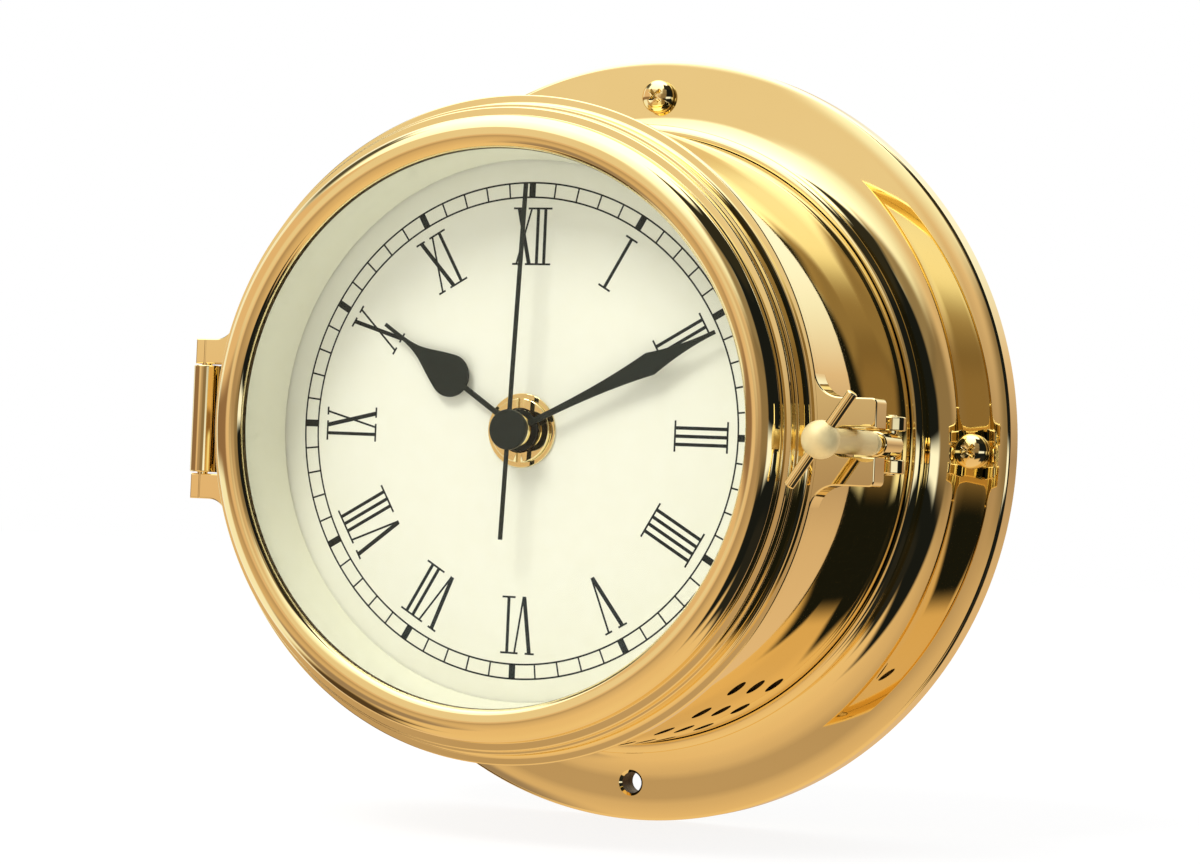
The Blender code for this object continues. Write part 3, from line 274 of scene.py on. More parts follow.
# Studio: what stands round the clock, as seen in the brass. The room is (elevation, colour) and screens are
# (azimuths, elevations, softness of both edges, colour); azimuth 0 is before the dial and 90 beyond 3 o'clock
WARM_ROOM = ((-90.0, (0.90, 0.66, 0.39)), (-30.0, (0.84, 0.59, 0.35)), (-12.0, (0.70, 0.49, 0.30)),
             (0.0, (0.42, 0.29, 0.19)), (10.0, (0.78, 0.58, 0.40)), (18.0, (1.0, 1.0, 0.9)),
             (30.0, (1.4, 1.4, 1.4)), (60.0, (2.2, 2.2, 2.2)))
SCREENS = {
    "white_left": ((-130.0, -60.0), (-28.0, 36.0), (10.0, 8.0), (1.0, 1.0, 0.95)),
    "tan_left": ((-86.0, -24.0), (-3.0, 27.0), (8.0, 4.0), (0.80, 0.56, 0.37)),
    "pale_front": ((-44.0, -14.0), (2.0, 27.0), (8.0, 5.0), (0.86, 0.72, 0.54)),
    "horizon_left": ((-104.0, -40.0), (-4.0, 4.0), (10.0, 4.0), (0.30, 0.18, 0.11)),
    "dark_high_left": ((-115.0, -66.0), (28.0, 46.0), (14.0, 8.0), (0.10, 0.09, 0.07)),
    "dark_low_left": ((-120.0, -54.0), (-48.0, -30.0), (16.0, 8.0), (0.09, 0.055, 0.03)),
    "shadow_left": ((-62.0, -32.0), (-31.0, -18.0), (8.0, 6.0), (0.36, 0.26, 0.20)),
    "brown_high_right": ((8.0, 32.0), (14.0, 38.0), (10.0, 8.0), (0.42, 0.32, 0.20)),
    "brown_right": ((8.0, 140.0), (-8.0, 30.0), (14.0, 12.0), (0.30, 0.23, 0.15)),
    "dark_far_right": ((16.0, 150.0), (34.0, 66.0), (8.0, 8.0), (0.03, 0.028, 0.022)),
    "black_right": ((8.0, 138.0), (-31.0, 13.0), (5.0, 8.0), (0.010, 0.012, 0.014)),
    "black_high_right": ((32.0, 140.0), (0.0, 40.0), (10.0, 8.0), (0.010, 0.012, 0.014)),
    "black_low_right": ((46.0, 140.0), (-49.0, -20.0), (16.0, 8.0), (0.020, 0.020, 0.020)),
    "brown_ahead": ((0.0, 30.0), (-4.0, 14.0), (10.0, 8.0), (0.28, 0.20, 0.12)),
    "strip_lamp": ((28.0, 82.0), (-7.0, 2.0), (8.0, 5.0), (1.1, 1.15, 1.3)),
    "brown_behind": ((135.0, 152.0), (-36.0, 14.0), (6.0, 6.0), (0.46, 0.31, 0.21)),
}
ROOM_LIGHT = (0.66, 0.66, 0.66)
WHITE = (1.0, 1.0, 1.0)
KEY_PLACE = Vector((-0.25, -0.95, 1.05))  # metres, as the places below are
KEY_AIM = Vector((0.0, -0.06, 0.0))
KEY_SIZE = 0.5
KEY_POWER = 10.5
FLOOR_HEIGHT = -0.076
FLOOR_REACH = 2.0
FLOOR_GLOW = 0.8
FLOOR_LEVEL = 1.08
CAMERA_PLACE = (0.2816, -0.634, -0.0092)
CAMERA_YAW = 24.898
CAMERA_PITCH = 0.857
CAMERA_ROLL = 2.4545
CAMERA_LENS = 103.3
CAMERA_SENSOR = 36.0
CAMERA_NEAR = 0.01


class Nodes:
    """The node tree of a material or a world, with short ways to add nodes."""

    def __init__(self, look, shader="Principled BSDF", coordinates="Object"):
        self.look = look
        look.use_nodes = True
        self.tree = look.node_tree
        self.shader = self.tree.nodes[shader]
        self.place = self.add("ShaderNodeTexCoord").outputs[coordinates]

    def add(self, kind, **settings):
        node = self.tree.nodes.new(kind)
        for key, value in settings.items():
            setattr(node, key, value)
        return node

    def feed(self, socket, value):
        """A link or a constant into a socket."""
        if isinstance(value, bpy.types.NodeSocket):
            self.tree.links.new(value, socket)
        else:
            socket.default_value = value

    def stretched(self, scale):
        node = self.add("ShaderNodeMapping")
        self.feed(node.inputs["Scale"], scale)
        self.feed(node.inputs["Vector"], self.place)
        return node.outputs["Vector"]

    def noise(self, scale, detail=3.0, vector=None):
        node = self.add("ShaderNodeTexNoise")
        for key, value in (("Scale", scale), ("Detail", detail), ("Vector", vector or self.place)):
            self.feed(node.inputs[key], value)
        return node.outputs["Fac"]

    def maths(self, operation, *values):
        """A calculation on links or numbers."""
        node = self.add("ShaderNodeMath", operation=operation)
        for socket, value in zip(node.inputs, values):
            self.feed(socket, value)
        return node.outputs[0]

    def span(self, value, low, high, start=0.3, end=0.7):
        """Map a value from one range to another; a noise's own range is the usual start."""
        node = self.add("ShaderNodeMapRange")
        for key, number in (("From Min", start), ("From Max", end), ("To Min", low), ("To Max", high)):
            self.feed(node.inputs[key], number)
        self.feed(node.inputs["Value"], value)
        return node.outputs["Result"]

    def window(self, value, ends, soft):
        """1 between two ends, fading softly to 0 across each."""
        sides = []
        for end, way in ((ends[0], 1.0), (ends[1], -1.0)):
            rise = self.span(value, 0.0, 1.0, end - way * soft / 2.0, end + way * soft / 2.0)
            rise.node.interpolation_type = "SMOOTHSTEP"
            sides.append(rise)
        return self.maths("MULTIPLY", *sides)

    def blend(self, value, first, second):
        """A colour between two, by a value from 0 to 1."""
        node = self.add("ShaderNodeMix", data_type="RGBA")
        self.feed(node.inputs["Factor"], value)
        for key, colour in (("A", first), ("B", second)):
            self.feed(node.inputs[key], (*colour, 1.0) if isinstance(colour, tuple) else colour)
        return node.outputs["Result"]

    def bump(self, height, distance, before=None):
        node = self.add("ShaderNodeBump")
        self.feed(node.inputs["Distance"], distance)
        self.feed(node.inputs["Height"], height)
        if before:
            self.feed(node.inputs["Normal"], before)
        return node.outputs["Normal"]

    def set(self, **values):
        """Constants or links for the shader, with underscores for spaces."""
        for key, value in values.items():
            self.feed(self.shader.inputs[key.replace("_", " ")], value)
        return self.look

    def mix(self, share, other):
        """Mix another shader into the material's surface."""
        node = self.add("ShaderNodeMixShader")
        for socket, source in zip(node.inputs, (share, self.shader.outputs[0], other.outputs[0])):
            self.feed(socket, source)
        self.feed(self.tree.nodes["Material Output"].inputs["Surface"], node.outputs[0])
        return self.look


def material(name):
    return Nodes(bpy.data.materials.new(name))


def polished_brass(name, marks, shine=(0.012, 0.035), metallic=1.0):
    """Lacquered brass: slight colour drift, fine polishing marks along one direction, and a soft waviness."""
    nodes = material(name)
    drift = nodes.span(nodes.noise(45.0, 2.0), 0.0, 1.0)
    colour = nodes.blend(drift, (0.935, 0.775, 0.395), (0.955, 0.805, 0.430))
    rubbed = nodes.noise(1.0, 4.0, nodes.stretched(marks))
    roughness = nodes.span(rubbed, *shine)
    fine = nodes.bump(rubbed, 2e-7)
    normal = nodes.bump(nodes.noise(90.0, 1.0), 6e-6, fine)
    return nodes.set(Base_Color=colour, Metallic=metallic, Roughness=roughness, Normal=normal)


def cream_enamel(name, light, dark, roughness):
    nodes = material(name)
    colour = nodes.blend(nodes.span(nodes.noise(400.0, 5.0), 0.0, 1.0), light, dark)
    grain = nodes.noise(2600.0, 2.0)
    return nodes.set(Base_Color=colour, Roughness=nodes.span(grain, roughness - 0.05, roughness + 0.05),
                     Normal=nodes.bump(grain, 4e-6), Specular_IOR_Level=0.5)


def plain_look(name, light, dark, roughness, grain, depth, metallic=0.0, specular=0.5):
    """A finish with a fine grain: used for paint, moulded plastic, rubber and plated steel."""
    nodes = material(name)
    speckle = nodes.noise(grain, 4.0)
    colour = nodes.blend(nodes.span(speckle, 0.0, 1.0), light, dark)
    uneven = nodes.noise(grain / 6.0, 3.0)
    return nodes.set(Base_Color=colour, Metallic=metallic, Normal=nodes.bump(speckle, depth),
                     Roughness=nodes.span(uneven, roughness - 0.06, roughness + 0.06),
                     Specular_IOR_Level=specular)


def clear_glass(name):
    """Float glass with faint wipe marks; light from the lamps passes straight through."""
    nodes = material(name)
    haze = nodes.noise(120.0, 4.0, nodes.stretched((1.0, 1.0, 0.3)))
    nodes.set(Base_Color=(0.97, 0.985, 0.975, 1.0), Transmission_Weight=1.0, IOR=1.25,
              Roughness=nodes.span(haze, 0.0, 0.012), Normal=nodes.bump(nodes.noise(25.0, 1.0), 1e-6))
    rays = nodes.add("ShaderNodeLightPath").outputs
    either = nodes.maths("MAXIMUM", rays["Is Shadow Ray"], rays["Is Diffuse Ray"])
    return nodes.mix(either, nodes.add("ShaderNodeBsdfTransparent"))


TURNED_BRASS = polished_brass("turned_brass", (260.0, 900.0, 260.0))
FLAT_BRASS = polished_brass("buffed_brass", (1200.0, 300.0, 300.0))
SATIN_BRASS = polished_brass("satin_brass", (900.0, 900.0, 900.0), (0.46, 0.56), 0.55)
# Rough like drilled metal, and much darker than brass: painted shade for the walls of holes and vents, the
# tube's inside and the bezel's lip
PAINTED_SHADE_BRASS = plain_look("painted_shade_brass", (0.150, 0.100, 0.040), (0.060, 0.040, 0.018),
                           0.55, 1400.0, 4e-6, 1.0)
CREAM = cream_enamel("dial_enamel", (0.915, 0.900, 0.735), (0.895, 0.878, 0.705), 0.42)
GLOSS_CREAM = cream_enamel("ring_enamel", (0.900, 0.890, 0.690), (0.885, 0.872, 0.665), 0.10)
INK = plain_look("printing_ink", (0.006, 0.012, 0.011), (0.012, 0.018, 0.017),
                 0.45, 5000.0, 1e-6, specular=0.2)
CHARCOAL = plain_look("hand_paint", (0.008, 0.013, 0.010), (0.014, 0.021, 0.016),
                      0.42, 3200.0, 2e-6, specular=0.2)
MOULDING = plain_look("black_moulding", (0.016, 0.016, 0.017), (0.026, 0.026, 0.027), 0.5, 1800.0, 1.2e-5)
STEEL = plain_look("zinc_steel", (0.60, 0.60, 0.58), (0.50, 0.51, 0.51), 0.3, 900.0, 2e-6, 1.0)
RUBBER = plain_look("black_rubber", (0.020, 0.020, 0.020), (0.034, 0.034, 0.033), 0.82, 1500.0, 1e-5)
JACKET = plain_look("cell_jacket", (0.085, 0.090, 0.098), (0.115, 0.118, 0.124), 0.34, 700.0, 3e-6)
GLASS = clear_glass("clear_glass")

# The look of each CAD node that keeps its own shape
CARRIED = {
    "dial_plate": CREAM,
    "dial_screw_1": STEEL, "dial_screw_2": STEEL, "dial_screw_3": STEEL,
    "movement_housing": MOULDING,
    "centre_bush": TURNED_BRASS, "hour_tube": TURNED_BRASS,
    "second_arbor": STEEL, "contact_plate": STEEL, "contact_spring": STEEL,
    "dial_gasket": RUBBER,
}


def stand(point):
    """From the bench frame in millimetres to the clock's own frame in metres."""
    return (point[0] * MM, -point[2] * MM, point[1] * MM)


def clock_point(radius, angle, height=0.0):
    """The point at a radius and a clock angle, in degrees clockwise from 12."""
    turn = math.radians(angle)
    return Vector((radius * math.sin(turn), radius * math.cos(turn), height))


# Runs of a profile: lists of (radius, height, normal out, normal up), anticlockwise round the solid

def straight(start, end):
    """One straight run, with the solid on its left."""
    way = (Vector(end) - Vector(start)).normalized()
    return [[(*start, way.y, -way.x), (*end, way.y, -way.x)]]


def oval(centre, reach, start, end, steps=32):
    """One elliptical run, with its reach out and up: anticlockwise bulges out, clockwise is hollow."""
    side = 1.0 if end > start else -1.0
    run = []
    for i in range(steps + 1):
        angle = math.radians(start + (end - start) * i / steps)
        out, up = math.cos(angle), math.sin(angle)
        normal = side * Vector((out / reach[0], up / reach[1])).normalized()
        run.append((centre[0] + reach[0] * out, centre[1] + reach[1] * up, *normal))
    return [run]


def bend(centre, radius, start, end, degrees=BEND_STEP):
    """One round run."""
    steps = max(3, math.ceil(abs(end - start) / degrees))
    return oval(centre, (radius, radius), start, end, steps)


def bends(centre, *arcs):
    """Round runs (radius, start, end) that follow smoothly on one another, the first about a centre."""
    runs = []
    last = arcs[0][0]
    for radius, start, end in arcs:
        way = math.radians(start)
        step = last - radius
        centre = (centre[0] + step * math.cos(way), centre[1] + step * math.sin(way))
        runs += bend(centre, radius, start, end)
        last = radius
    return runs


def path(*corners, closed=False):
    """Straight runs through corners (radius, height), rounded where a corner has a third value."""
    count = len(corners)
    runs = []
    ends = []
    for i, corner in enumerate(corners):
        here = Vector(corner[:2])
        if len(corner) < 3 or not corner[2]:
            ends.append((here, here, []))
            continue
        before = (Vector(corners[i - 1][:2]) - here).normalized()
        after = (Vector(corners[(i + 1) % count][:2]) - here).normalized()
        half = before.angle(after) / 2.0
        reach = corner[2] / math.tan(half)
        centre = here + (before + after).normalized() * corner[2] / math.sin(half)
        first = math.degrees(math.atan2(*reversed(here + before * reach - centre)))
        last = math.degrees(math.atan2(*reversed(here + after * reach - centre)))
        turn = (last - first + 180.0) % 360.0 - 180.0
        rounding = bend(centre, corner[2], first, first + turn, ROUND_STEP)
        ends.append((here + before * reach, here + after * reach, rounding))
    for i in range(count if closed else count - 1):
        leave = ends[i]
        enter = ends[(i + 1) % count]
        runs += leave[2]
        if (enter[0] - leave[1]).length > NEAR:
            runs += straight(tuple(leave[1]), tuple(enter[0]))
    return runs


def rod(radius, low, high, low_edge=0.0, high_edge=0.0):
    """A round bar."""
    return path((0.0, low), (radius, low, low_edge), (radius, high, high_edge), (0.0, high))


def ring(inner, outer, low, high, edge=0.0):
    """A square ring, with its outer upper edge rounded."""
    return path((inner, low), (outer, low), (outer, high, edge), (inner, high), closed=True)


# Outlines: lists of points in a plane

def round_arc(centre, radius, start, end, steps):
    points = []
    for i in range(steps + 1):
        angle = math.radians(start + (end - start) * i / steps)
        points.append((centre[0] + radius * math.cos(angle), centre[1] + radius * math.sin(angle)))
    return points


def circle(radius, steps, centre=(0.0, 0.0), clockwise=False):
    points = round_arc(centre, radius, 0.0, 360.0, steps)[:-1]
    return points[::-1] if clockwise else points


def rectangle(left, right, low, high):
    return [(left, low), (right, low), (right, high), (left, high)]


def outline_normals(loop):
    """For each point of an outline: the normal arriving, the normal leaving, and the way to shift it out."""
    count = len(loop)
    sides = []
    for i in range(count):
        way = (Vector(loop[(i + 1) % count]) - Vector(loop[i])).normalized()
        sides.append(Vector((way.y, -way.x)))
    found = []
    for i in range(count):
        arrive, leave = sides[i - 1], sides[i]
        mean = (arrive + leave).normalized()
        shift = mean / max(MITRE_LIMIT, mean.dot(leave))
        if arrive.angle(leave) < SHARP:
            arrive = leave = mean
        found.append((arrive, leave, shift))
    return found


def add_object(name, data):
    obj = bpy.data.objects.new(name, data)
    bpy.context.scene.collection.objects.link(obj)
    return obj


def turned(axis, angle, at=(0.0, 0.0, 0.0)):
    """A placing at a point, turned about one axis."""
    return Matrix.Translation(at) @ Matrix.Rotation(math.radians(angle), 4, axis)


class Skin:
    """A surface built face by face in the bench frame, with the exact normal at every corner."""

    def __init__(self, place=None):
        self.place = place or Matrix.Identity(4)
        self.turn = self.place.to_3x3()
        self.index = {}
        self.points = []
        self.faces = []
        self.normals = []
        # Faces built while this is 1 get the dark brass that paints shade into recesses
        self.painted_shade = 0
        self.shades = []

    def corner(self, point):
        at = self.place @ Vector(point)
        key = (round(at.x, 4), round(at.y, 4), round(at.z, 4))
        if key not in self.index:
            self.index[key] = len(self.points)
            self.points.append(stand(at))
        return self.index[key]

    def face(self, corners, normals):
        """A face seen anticlockwise from outside; corners that fall together are left out."""
        found = [self.corner(point) for point in corners]
        keep = [i for i in range(len(found)) if found[i] != found[i - 1]]
        if len(keep) < 3 or len({found[i] for i in keep}) < len(keep):
            return
        self.faces.append([found[i] for i in keep])
        self.shades.append(self.painted_shade)
        for i in keep:
            normal = self.turn @ Vector(normals[i])
            self.normals.append(Vector((normal.x, -normal.z, normal.y)).normalized())

    def facing(self, corners, normals):
        """A face whose corners may run either way round."""
        if (corners[1] - corners[0]).cross(corners[2] - corners[0]).dot(normals[0]) < 0.0:
            corners, normals = corners[::-1], normals[::-1]
        self.face(corners, normals)

    def revolve(self, runs, steps=TURN_STEPS, start=0.0, end=360.0):
        """Turn a profile about the local third axis, between two angles anticlockwise from X."""
        spokes = round_arc((0.0, 0.0), 1.0, start, end, steps)
        if end - start == 360.0:
            spokes[-1] = spokes[0]
        for run in runs:
            for low, high in zip(run, run[1:]):
                for here, there in zip(spokes, spokes[1:]):
                    quad = ((low, here), (low, there), (high, there), (high, here))
                    self.face([(p[0] * s[0], p[0] * s[1], p[1]) for p, s in quad],
                              [(p[2] * s[0], p[2] * s[1], p[3]) for p, s in quad])
        return self

    def flat(self, loops, height, up):
        """A level face inside the first loop and outside the others."""
        rings = [[Vector((x, y, 0.0)) for x, y in loop] for loop in loops]
        points = [point for loop in rings for point in loop]
        for triangle in tessellate_polygon(rings):
            a, b, c = (points[i] for i in triangle)
            if (b - a).cross(c - a).z * up < 0.0:
                b, c = c, b
            self.face([(p.x, p.y, height) for p in (a, b, c)], [(0.0, 0.0, up)] * 3)
        return self

    def slab(self, loops, rear, front, edge=0.0, steps=4):
        """A plate with rounded edges: the first loop runs anticlockwise, and holes run clockwise."""
        rows = [(0.0, rear, 0.0), (0.0, front, 0.0)]
        if edge:
            rows = []
            for end, way in ((rear, -1.0), (front, 1.0)):
                for i in range(steps + 1):
                    lean = math.radians(90.0 * (steps - i if way < 0.0 else i) / steps)
                    height = end - way * edge + way * edge * math.sin(lean)
                    rows.append((edge * (1.0 - math.cos(lean)), height, way * lean))
        inner = []
        for loop in loops:
            sides = outline_normals(loop)
            for low, high in zip(rows, rows[1:]):
                for i in range(len(loop)):
                    j = (i + 1) % len(loop)
                    leave, enter = sides[i][1], sides[j][0]
                    quad = ((i, leave, low), (j, enter, low), (j, enter, high), (i, leave, high))
                    corners = []
                    normals = []
                    for k, side, (inset, height, lean) in quad:
                        spot = Vector(loop[k]) - sides[k][2] * inset
                        corners.append((spot.x, spot.y, height))
                        normals.append((side.x * math.cos(lean), side.y * math.cos(lean), math.sin(lean)))
                    self.face(corners, normals)
            inner.append([tuple(Vector(point) - side[2] * edge) for point, side in zip(loop, sides)])
        return self.flat(inner, front, 1.0).flat(inner, rear, -1.0)

    def pierced(self, border, holes, inner, lift):
        """A patch drawn flat, with holes left out; lift gives its points and normals on a surface."""
        points = [Vector(point) for loop in (border, *holes, inner) for point in loop]
        edges = [(i, (i + 1) % len(border)) for i in range(len(border))]
        faces = []
        start = len(border)
        for hole in holes:
            faces.append(list(range(start, start + len(hole))))
            start += len(hole)
        found, _, triangles, _, _, owners = delaunay_2d_cdt(points, edges, faces, 0, NEAR)
        for triangle, owner in zip(triangles, owners):
            if not owner:
                self.facing(*zip(*(lift(found[i]) for i in triangle)))

    def strip(self, first, second, normals):
        """A closed band between two loops of points."""
        for i in range(len(first)):
            self.facing([first[i - 1], first[i], second[i], second[i - 1]],
                        [normals[i - 1], normals[i], normals[i], normals[i - 1]])

    def weld(self):
        """Points that differ only by rounding become one."""
        tree = KDTree(len(self.points))
        for i, point in enumerate(self.points):
            tree.insert(point, i)
        tree.balance()
        first = [min(found[1] for found in tree.find_range(point, WELD)) for point in self.points]
        kept = sorted(set(first))
        place = {old: new for new, old in enumerate(kept)}
        self.points = [self.points[i] for i in kept]
        self.faces = [[place[first[i]] for i in face] for face in self.faces]

    def build(self, name, body, look, *nodes):
        """A piece that rides on a body and stands for CAD nodes."""
        self.weld()
        mesh = bpy.data.meshes.new(name)
        mesh.from_pydata(self.points, [], self.faces)
        mesh.shade_smooth()
        mesh.normals_split_custom_set(self.normals)
        mesh.materials.append(look)
        # Marked faces take the dark brass, as painted shade
        if any(self.shades):
            mesh.materials.append(PAINTED_SHADE_BRASS)
            mesh.polygons.foreach_set("material_index", self.shades)
        obj = add_object(name, mesh)
        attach(obj, body)
        if nodes:
            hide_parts(*nodes)
        return obj

    def cut_from(self, obj):
        """Take this shape out of a piece."""
        tool = add_object("tool", bpy.data.meshes.new("tool"))
        tool.data.from_pydata(self.points, [], self.faces)
        obj.modifiers.new("cut", "BOOLEAN").object = tool
        bpy.context.view_layer.update()
        mesh = bpy.data.meshes.new_from_object(obj.evaluated_get(bpy.context.evaluated_depsgraph_get()))
        obj.modifiers.clear()
        obj.data = mesh
        mesh.name = obj.name
        mesh.shade_smooth()
        mesh.set_sharp_from_angle(angle=SHARP)
        bpy.data.objects.remove(tool, do_unlink=True)


def flange_lift(spot, turn):
    """The point and normal of the flange's face at a spot (radius, way round the screw circle), turned."""
    reach = max(0.0, SWEEP_CENTRE[0] - spot.x) / FLANGE_SWEEP[0]
    fall = math.sqrt(1.0 - reach ** 2)
    angle = spot.y / SCREW_CIRCLE
    out = Vector((math.cos(angle), math.sin(angle), 0.0))
    up = Vector((0.0, 0.0, 1.0))
    point = out * spot.x + up * (FLANGE_FACE + FLANGE_SWEEP[1] * (1.0 - fall))
    normal = up + out * FLANGE_SWEEP[1] / FLANGE_SWEEP[0] * reach / fall
    return turn @ point, turn @ normal.normalized()


def make_flange():
    """The screw flange: rounded edge, level face with four chamfered holes, hollow sweep, neck and bead."""
    skin = Skin()
    foot = FLANGE_RADIUS - FLANGE_BEVEL
    skin.revolve(path((foot, 0.0), (FLANGE_RADIUS, FLANGE_BEVEL), (FLANGE_RADIUS, EDGE_HEIGHT)))
    skin.revolve(bends((FLANGE_RADIUS - CORNER_RADIUS, EDGE_HEIGHT),
                       (CORNER_RADIUS, 0.0, CORNER_END), (SHOULDER_RADIUS, CORNER_END, 90.0)))
    bead_end = math.degrees(math.acos((BODY_RADIUS - NECK_RADIUS) / NECK_BEAD))
    skin.revolve(oval(SWEEP_CENTRE, FLANGE_SWEEP, SWEEP_SPLIT, 180.0))
    skin.revolve(straight((NECK_RADIUS, SWEEP_CENTRE[1]), (NECK_RADIUS, NECK_TOP)))
    skin.revolve(bend((NECK_RADIUS, NECK_TOP + NECK_BEAD), NECK_BEAD, -90.0, bead_end))
    skin.revolve(path((BODY_RADIUS, SPIGOT_FOOT), (SPIGOT_RADIUS, SPIGOT_FOOT), (SPIGOT_RADIUS, SPIGOT_TOP),
                      (BODY_INNER, SPIGOT_TOP), (BODY_INNER, 0.0)))
    level = straight((FLANGE_SHOULDER, FLANGE_FACE), (SWEEP_CENTRE[0], FLANGE_FACE))
    face = level + oval(SWEEP_CENTRE, FLANGE_SWEEP, 270.0, SWEEP_SPLIT, SWEEP_STEPS)
    step = 360.0 / TURN_STEPS
    reach = SCREW_PATCH * step
    spokes = [math.radians(step * i) * SCREW_CIRCLE for i in range(-SCREW_PATCH, SCREW_PATCH + 1)]
    rows = [FLANGE_SHOULDER] + [point[0] for point in face[1]]
    border = [(rows[0], way) for way in spokes]
    border += [(radius, spokes[-1]) for radius in rows[1:-1]]
    border += [(rows[-1], way) for way in reversed(spokes)]
    border += [(radius, spokes[0]) for radius in rows[-2:0:-1]]
    rim = []
    for x, y in circle(SCREW_HOLE + HOLE_CHAMFER, SMALL_STEPS, (SCREW_CIRCLE, 0.0)):
        rim.append(Vector((math.hypot(x, y), math.atan2(y, x) * SCREW_CIRCLE)))
    wall = circle(SCREW_HOLE, SMALL_STEPS, (SCREW_CIRCLE, 0.0))
    inward = [Vector((SCREW_CIRCLE - x, -y, 0.0)).normalized() for x, y in wall]
    back = [circle(foot, TURN_STEPS), circle(BODY_INNER, TURN_STEPS)]
    for quarter in range(4):
        angle = 90.0 * quarter
        turn = Matrix.Rotation(math.radians(angle), 3, "Z")
        skin.revolve(face, TURN_STEPS // 4 - 2 * SCREW_PATCH, angle + reach, angle + 90.0 - reach)
        skin.pierced(border, [rim], [], lambda spot: flange_lift(spot, turn))
        lip = [flange_lift(spot, turn)[0] for spot in rim]
        mouth = [turn @ Vector((x, y, FLANGE_FACE - HOLE_CHAMFER)) for x, y in wall]
        end = [turn @ Vector((x, y, 0.0)) for x, y in wall]
        skin.strip(lip, mouth, [turn @ Vector((way.x, way.y, 1.0)) for way in inward])
        # The hole's wall below the chamfer is darkened as painted shade
        skin.painted_shade = 1
        skin.strip(mouth, end, [turn @ way for way in inward])
        skin.painted_shade = 0
        back.append([(point.x, point.y) for point in end])
    skin.flat(back, 0.0, -1.0)
    skin.build("flange", "case", TURNED_BRASS, "base_flange")


def vent_loop(radius, column, height):
    """A vent's edge on a round wall, as (degrees round the clock, height)."""
    loop = []
    for x, y in circle(VENT_RADIUS, VENT_STEPS):
        loop.append((column + math.degrees(math.asin(x / radius)), height + y))
    return loop


def pierced_wall(skin, radius, rear, front, side):
    """The wall of the tube between its ends: plain over the top, and pierced by the vents below."""
    step = 360.0 / TURN_STEPS
    first = 180.0 - VENT_SPOKES / 2 * step
    angles = [first + step * i for i in range(VENT_SPOKES + 1)]
    ends = [(radius, rear), (radius, front)]
    plain = straight(*ends) if side > 0.0 else straight(*reversed(ends))
    skin.revolve(plain, TURN_STEPS - VENT_SPOKES, 90.0 - first, 450.0 - angles[-1])
    scale = math.radians(radius)
    border = [(a * scale, rear) for a in angles] + [(a * scale, front) for a in reversed(angles)]
    holes = [[(a * scale, h) for a, h in vent_loop(radius, *vent)] for vent in VENTS]
    inner = []
    for a in angles[1:-1]:
        for i in range(1, VENT_GRID):
            h = rear + (front - rear) * i / VENT_GRID
            if all(math.hypot((a - c) * scale, h - v) > VENT_RADIUS + VENT_MARGIN for c, v in VENTS):
                inner.append((a * scale, h))

    def lift(spot):
        angle = spot.x / scale
        return clock_point(radius, angle, spot.y), clock_point(side, angle)

    skin.pierced(border, holes, inner, lift)


def make_tube():
    """The case tube: front edge, dial ledge, counterbore and the pierced wall."""
    skin = Skin()
    skin.revolve(path((BODY_RADIUS, BODY_FRONT), (BODY_INNER, BODY_FRONT), (BODY_INNER, LEDGE_TOP),
                      (LEDGE_INNER, LEDGE_TOP), (LEDGE_INNER, LEDGE_FOOT), (BODY_INNER, LEDGE_REAR)))
    skin.revolve(path((BODY_INNER, COUNTERBORE_END), (COUNTERBORE, COUNTERBORE_END),
                      (COUNTERBORE, BODY_REAR), (BODY_RADIUS, BODY_REAR)))
    pierced_wall(skin, BODY_RADIUS, BODY_REAR, BODY_FRONT, 1.0)
    # The tube's inside and the vents' walls are darkened as painted shade
    skin.painted_shade = 1
    pierced_wall(skin, BODY_INNER, COUNTERBORE_END, LEDGE_REAR, -1.0)
    for column, height in VENTS:
        outer = [clock_point(BODY_RADIUS, a, h) for a, h in vent_loop(BODY_RADIUS, column, height)]
        inner = [clock_point(BODY_INNER, a, h) for a, h in vent_loop(BODY_INNER, column, height)]
        along = clock_point(1.0, column + 90.0)
        walls = [-x * along - Vector((0.0, 0.0, y)) for x, y in circle(1.0, VENT_STEPS)]
        skin.strip(outer, inner, walls)
    skin.build("case_tube", "case", TURNED_BRASS, "case_body")


def make_bezel():
    """The bezel's turned ring with its bead, two ledges and level rim, and the ring and glass it carries."""
    outside = path(*BEZEL_OUTSIDE) + bends((BEZEL_BORE, BEAD_HEIGHT), *BEAD_ARCS)
    skin = Skin().revolve(outside)
    # The lip's inner wall and seat are darkened as painted shade, a dark line between the bead and the ring
    skin.painted_shade = 1
    bead_end = outside[-1][-1][:2]
    skin.revolve(path(bead_end, *BEZEL_LIP))
    skin.build("bezel_turning", "bezel", TURNED_BRASS, "bezel_ring")
    Skin().revolve(path(*REHAUT, closed=True)).build("rehaut", "bezel", GLOSS_CREAM, "reflector_ring")
    Skin().revolve(path(*PANE)).build("bezel_glass", "bezel", GLASS, "glass")


def flare(half_width, radius, steps):
    """A fillet from a straight side at half_width into the bezel's edge, and the root inside the ring."""
    across = half_width + radius
    centre = (math.sqrt((BEZEL_RADIUS + radius) ** 2 - across ** 2), across)
    lean = math.degrees(math.atan2(centre[1], centre[0]))
    points = round_arc(centre, radius, -90.0, lean - 180.0, steps)
    root = LUG_ROOT / math.hypot(*points[-1])
    points.append((points[-1][0] * root, points[-1][1] * root))
    return points


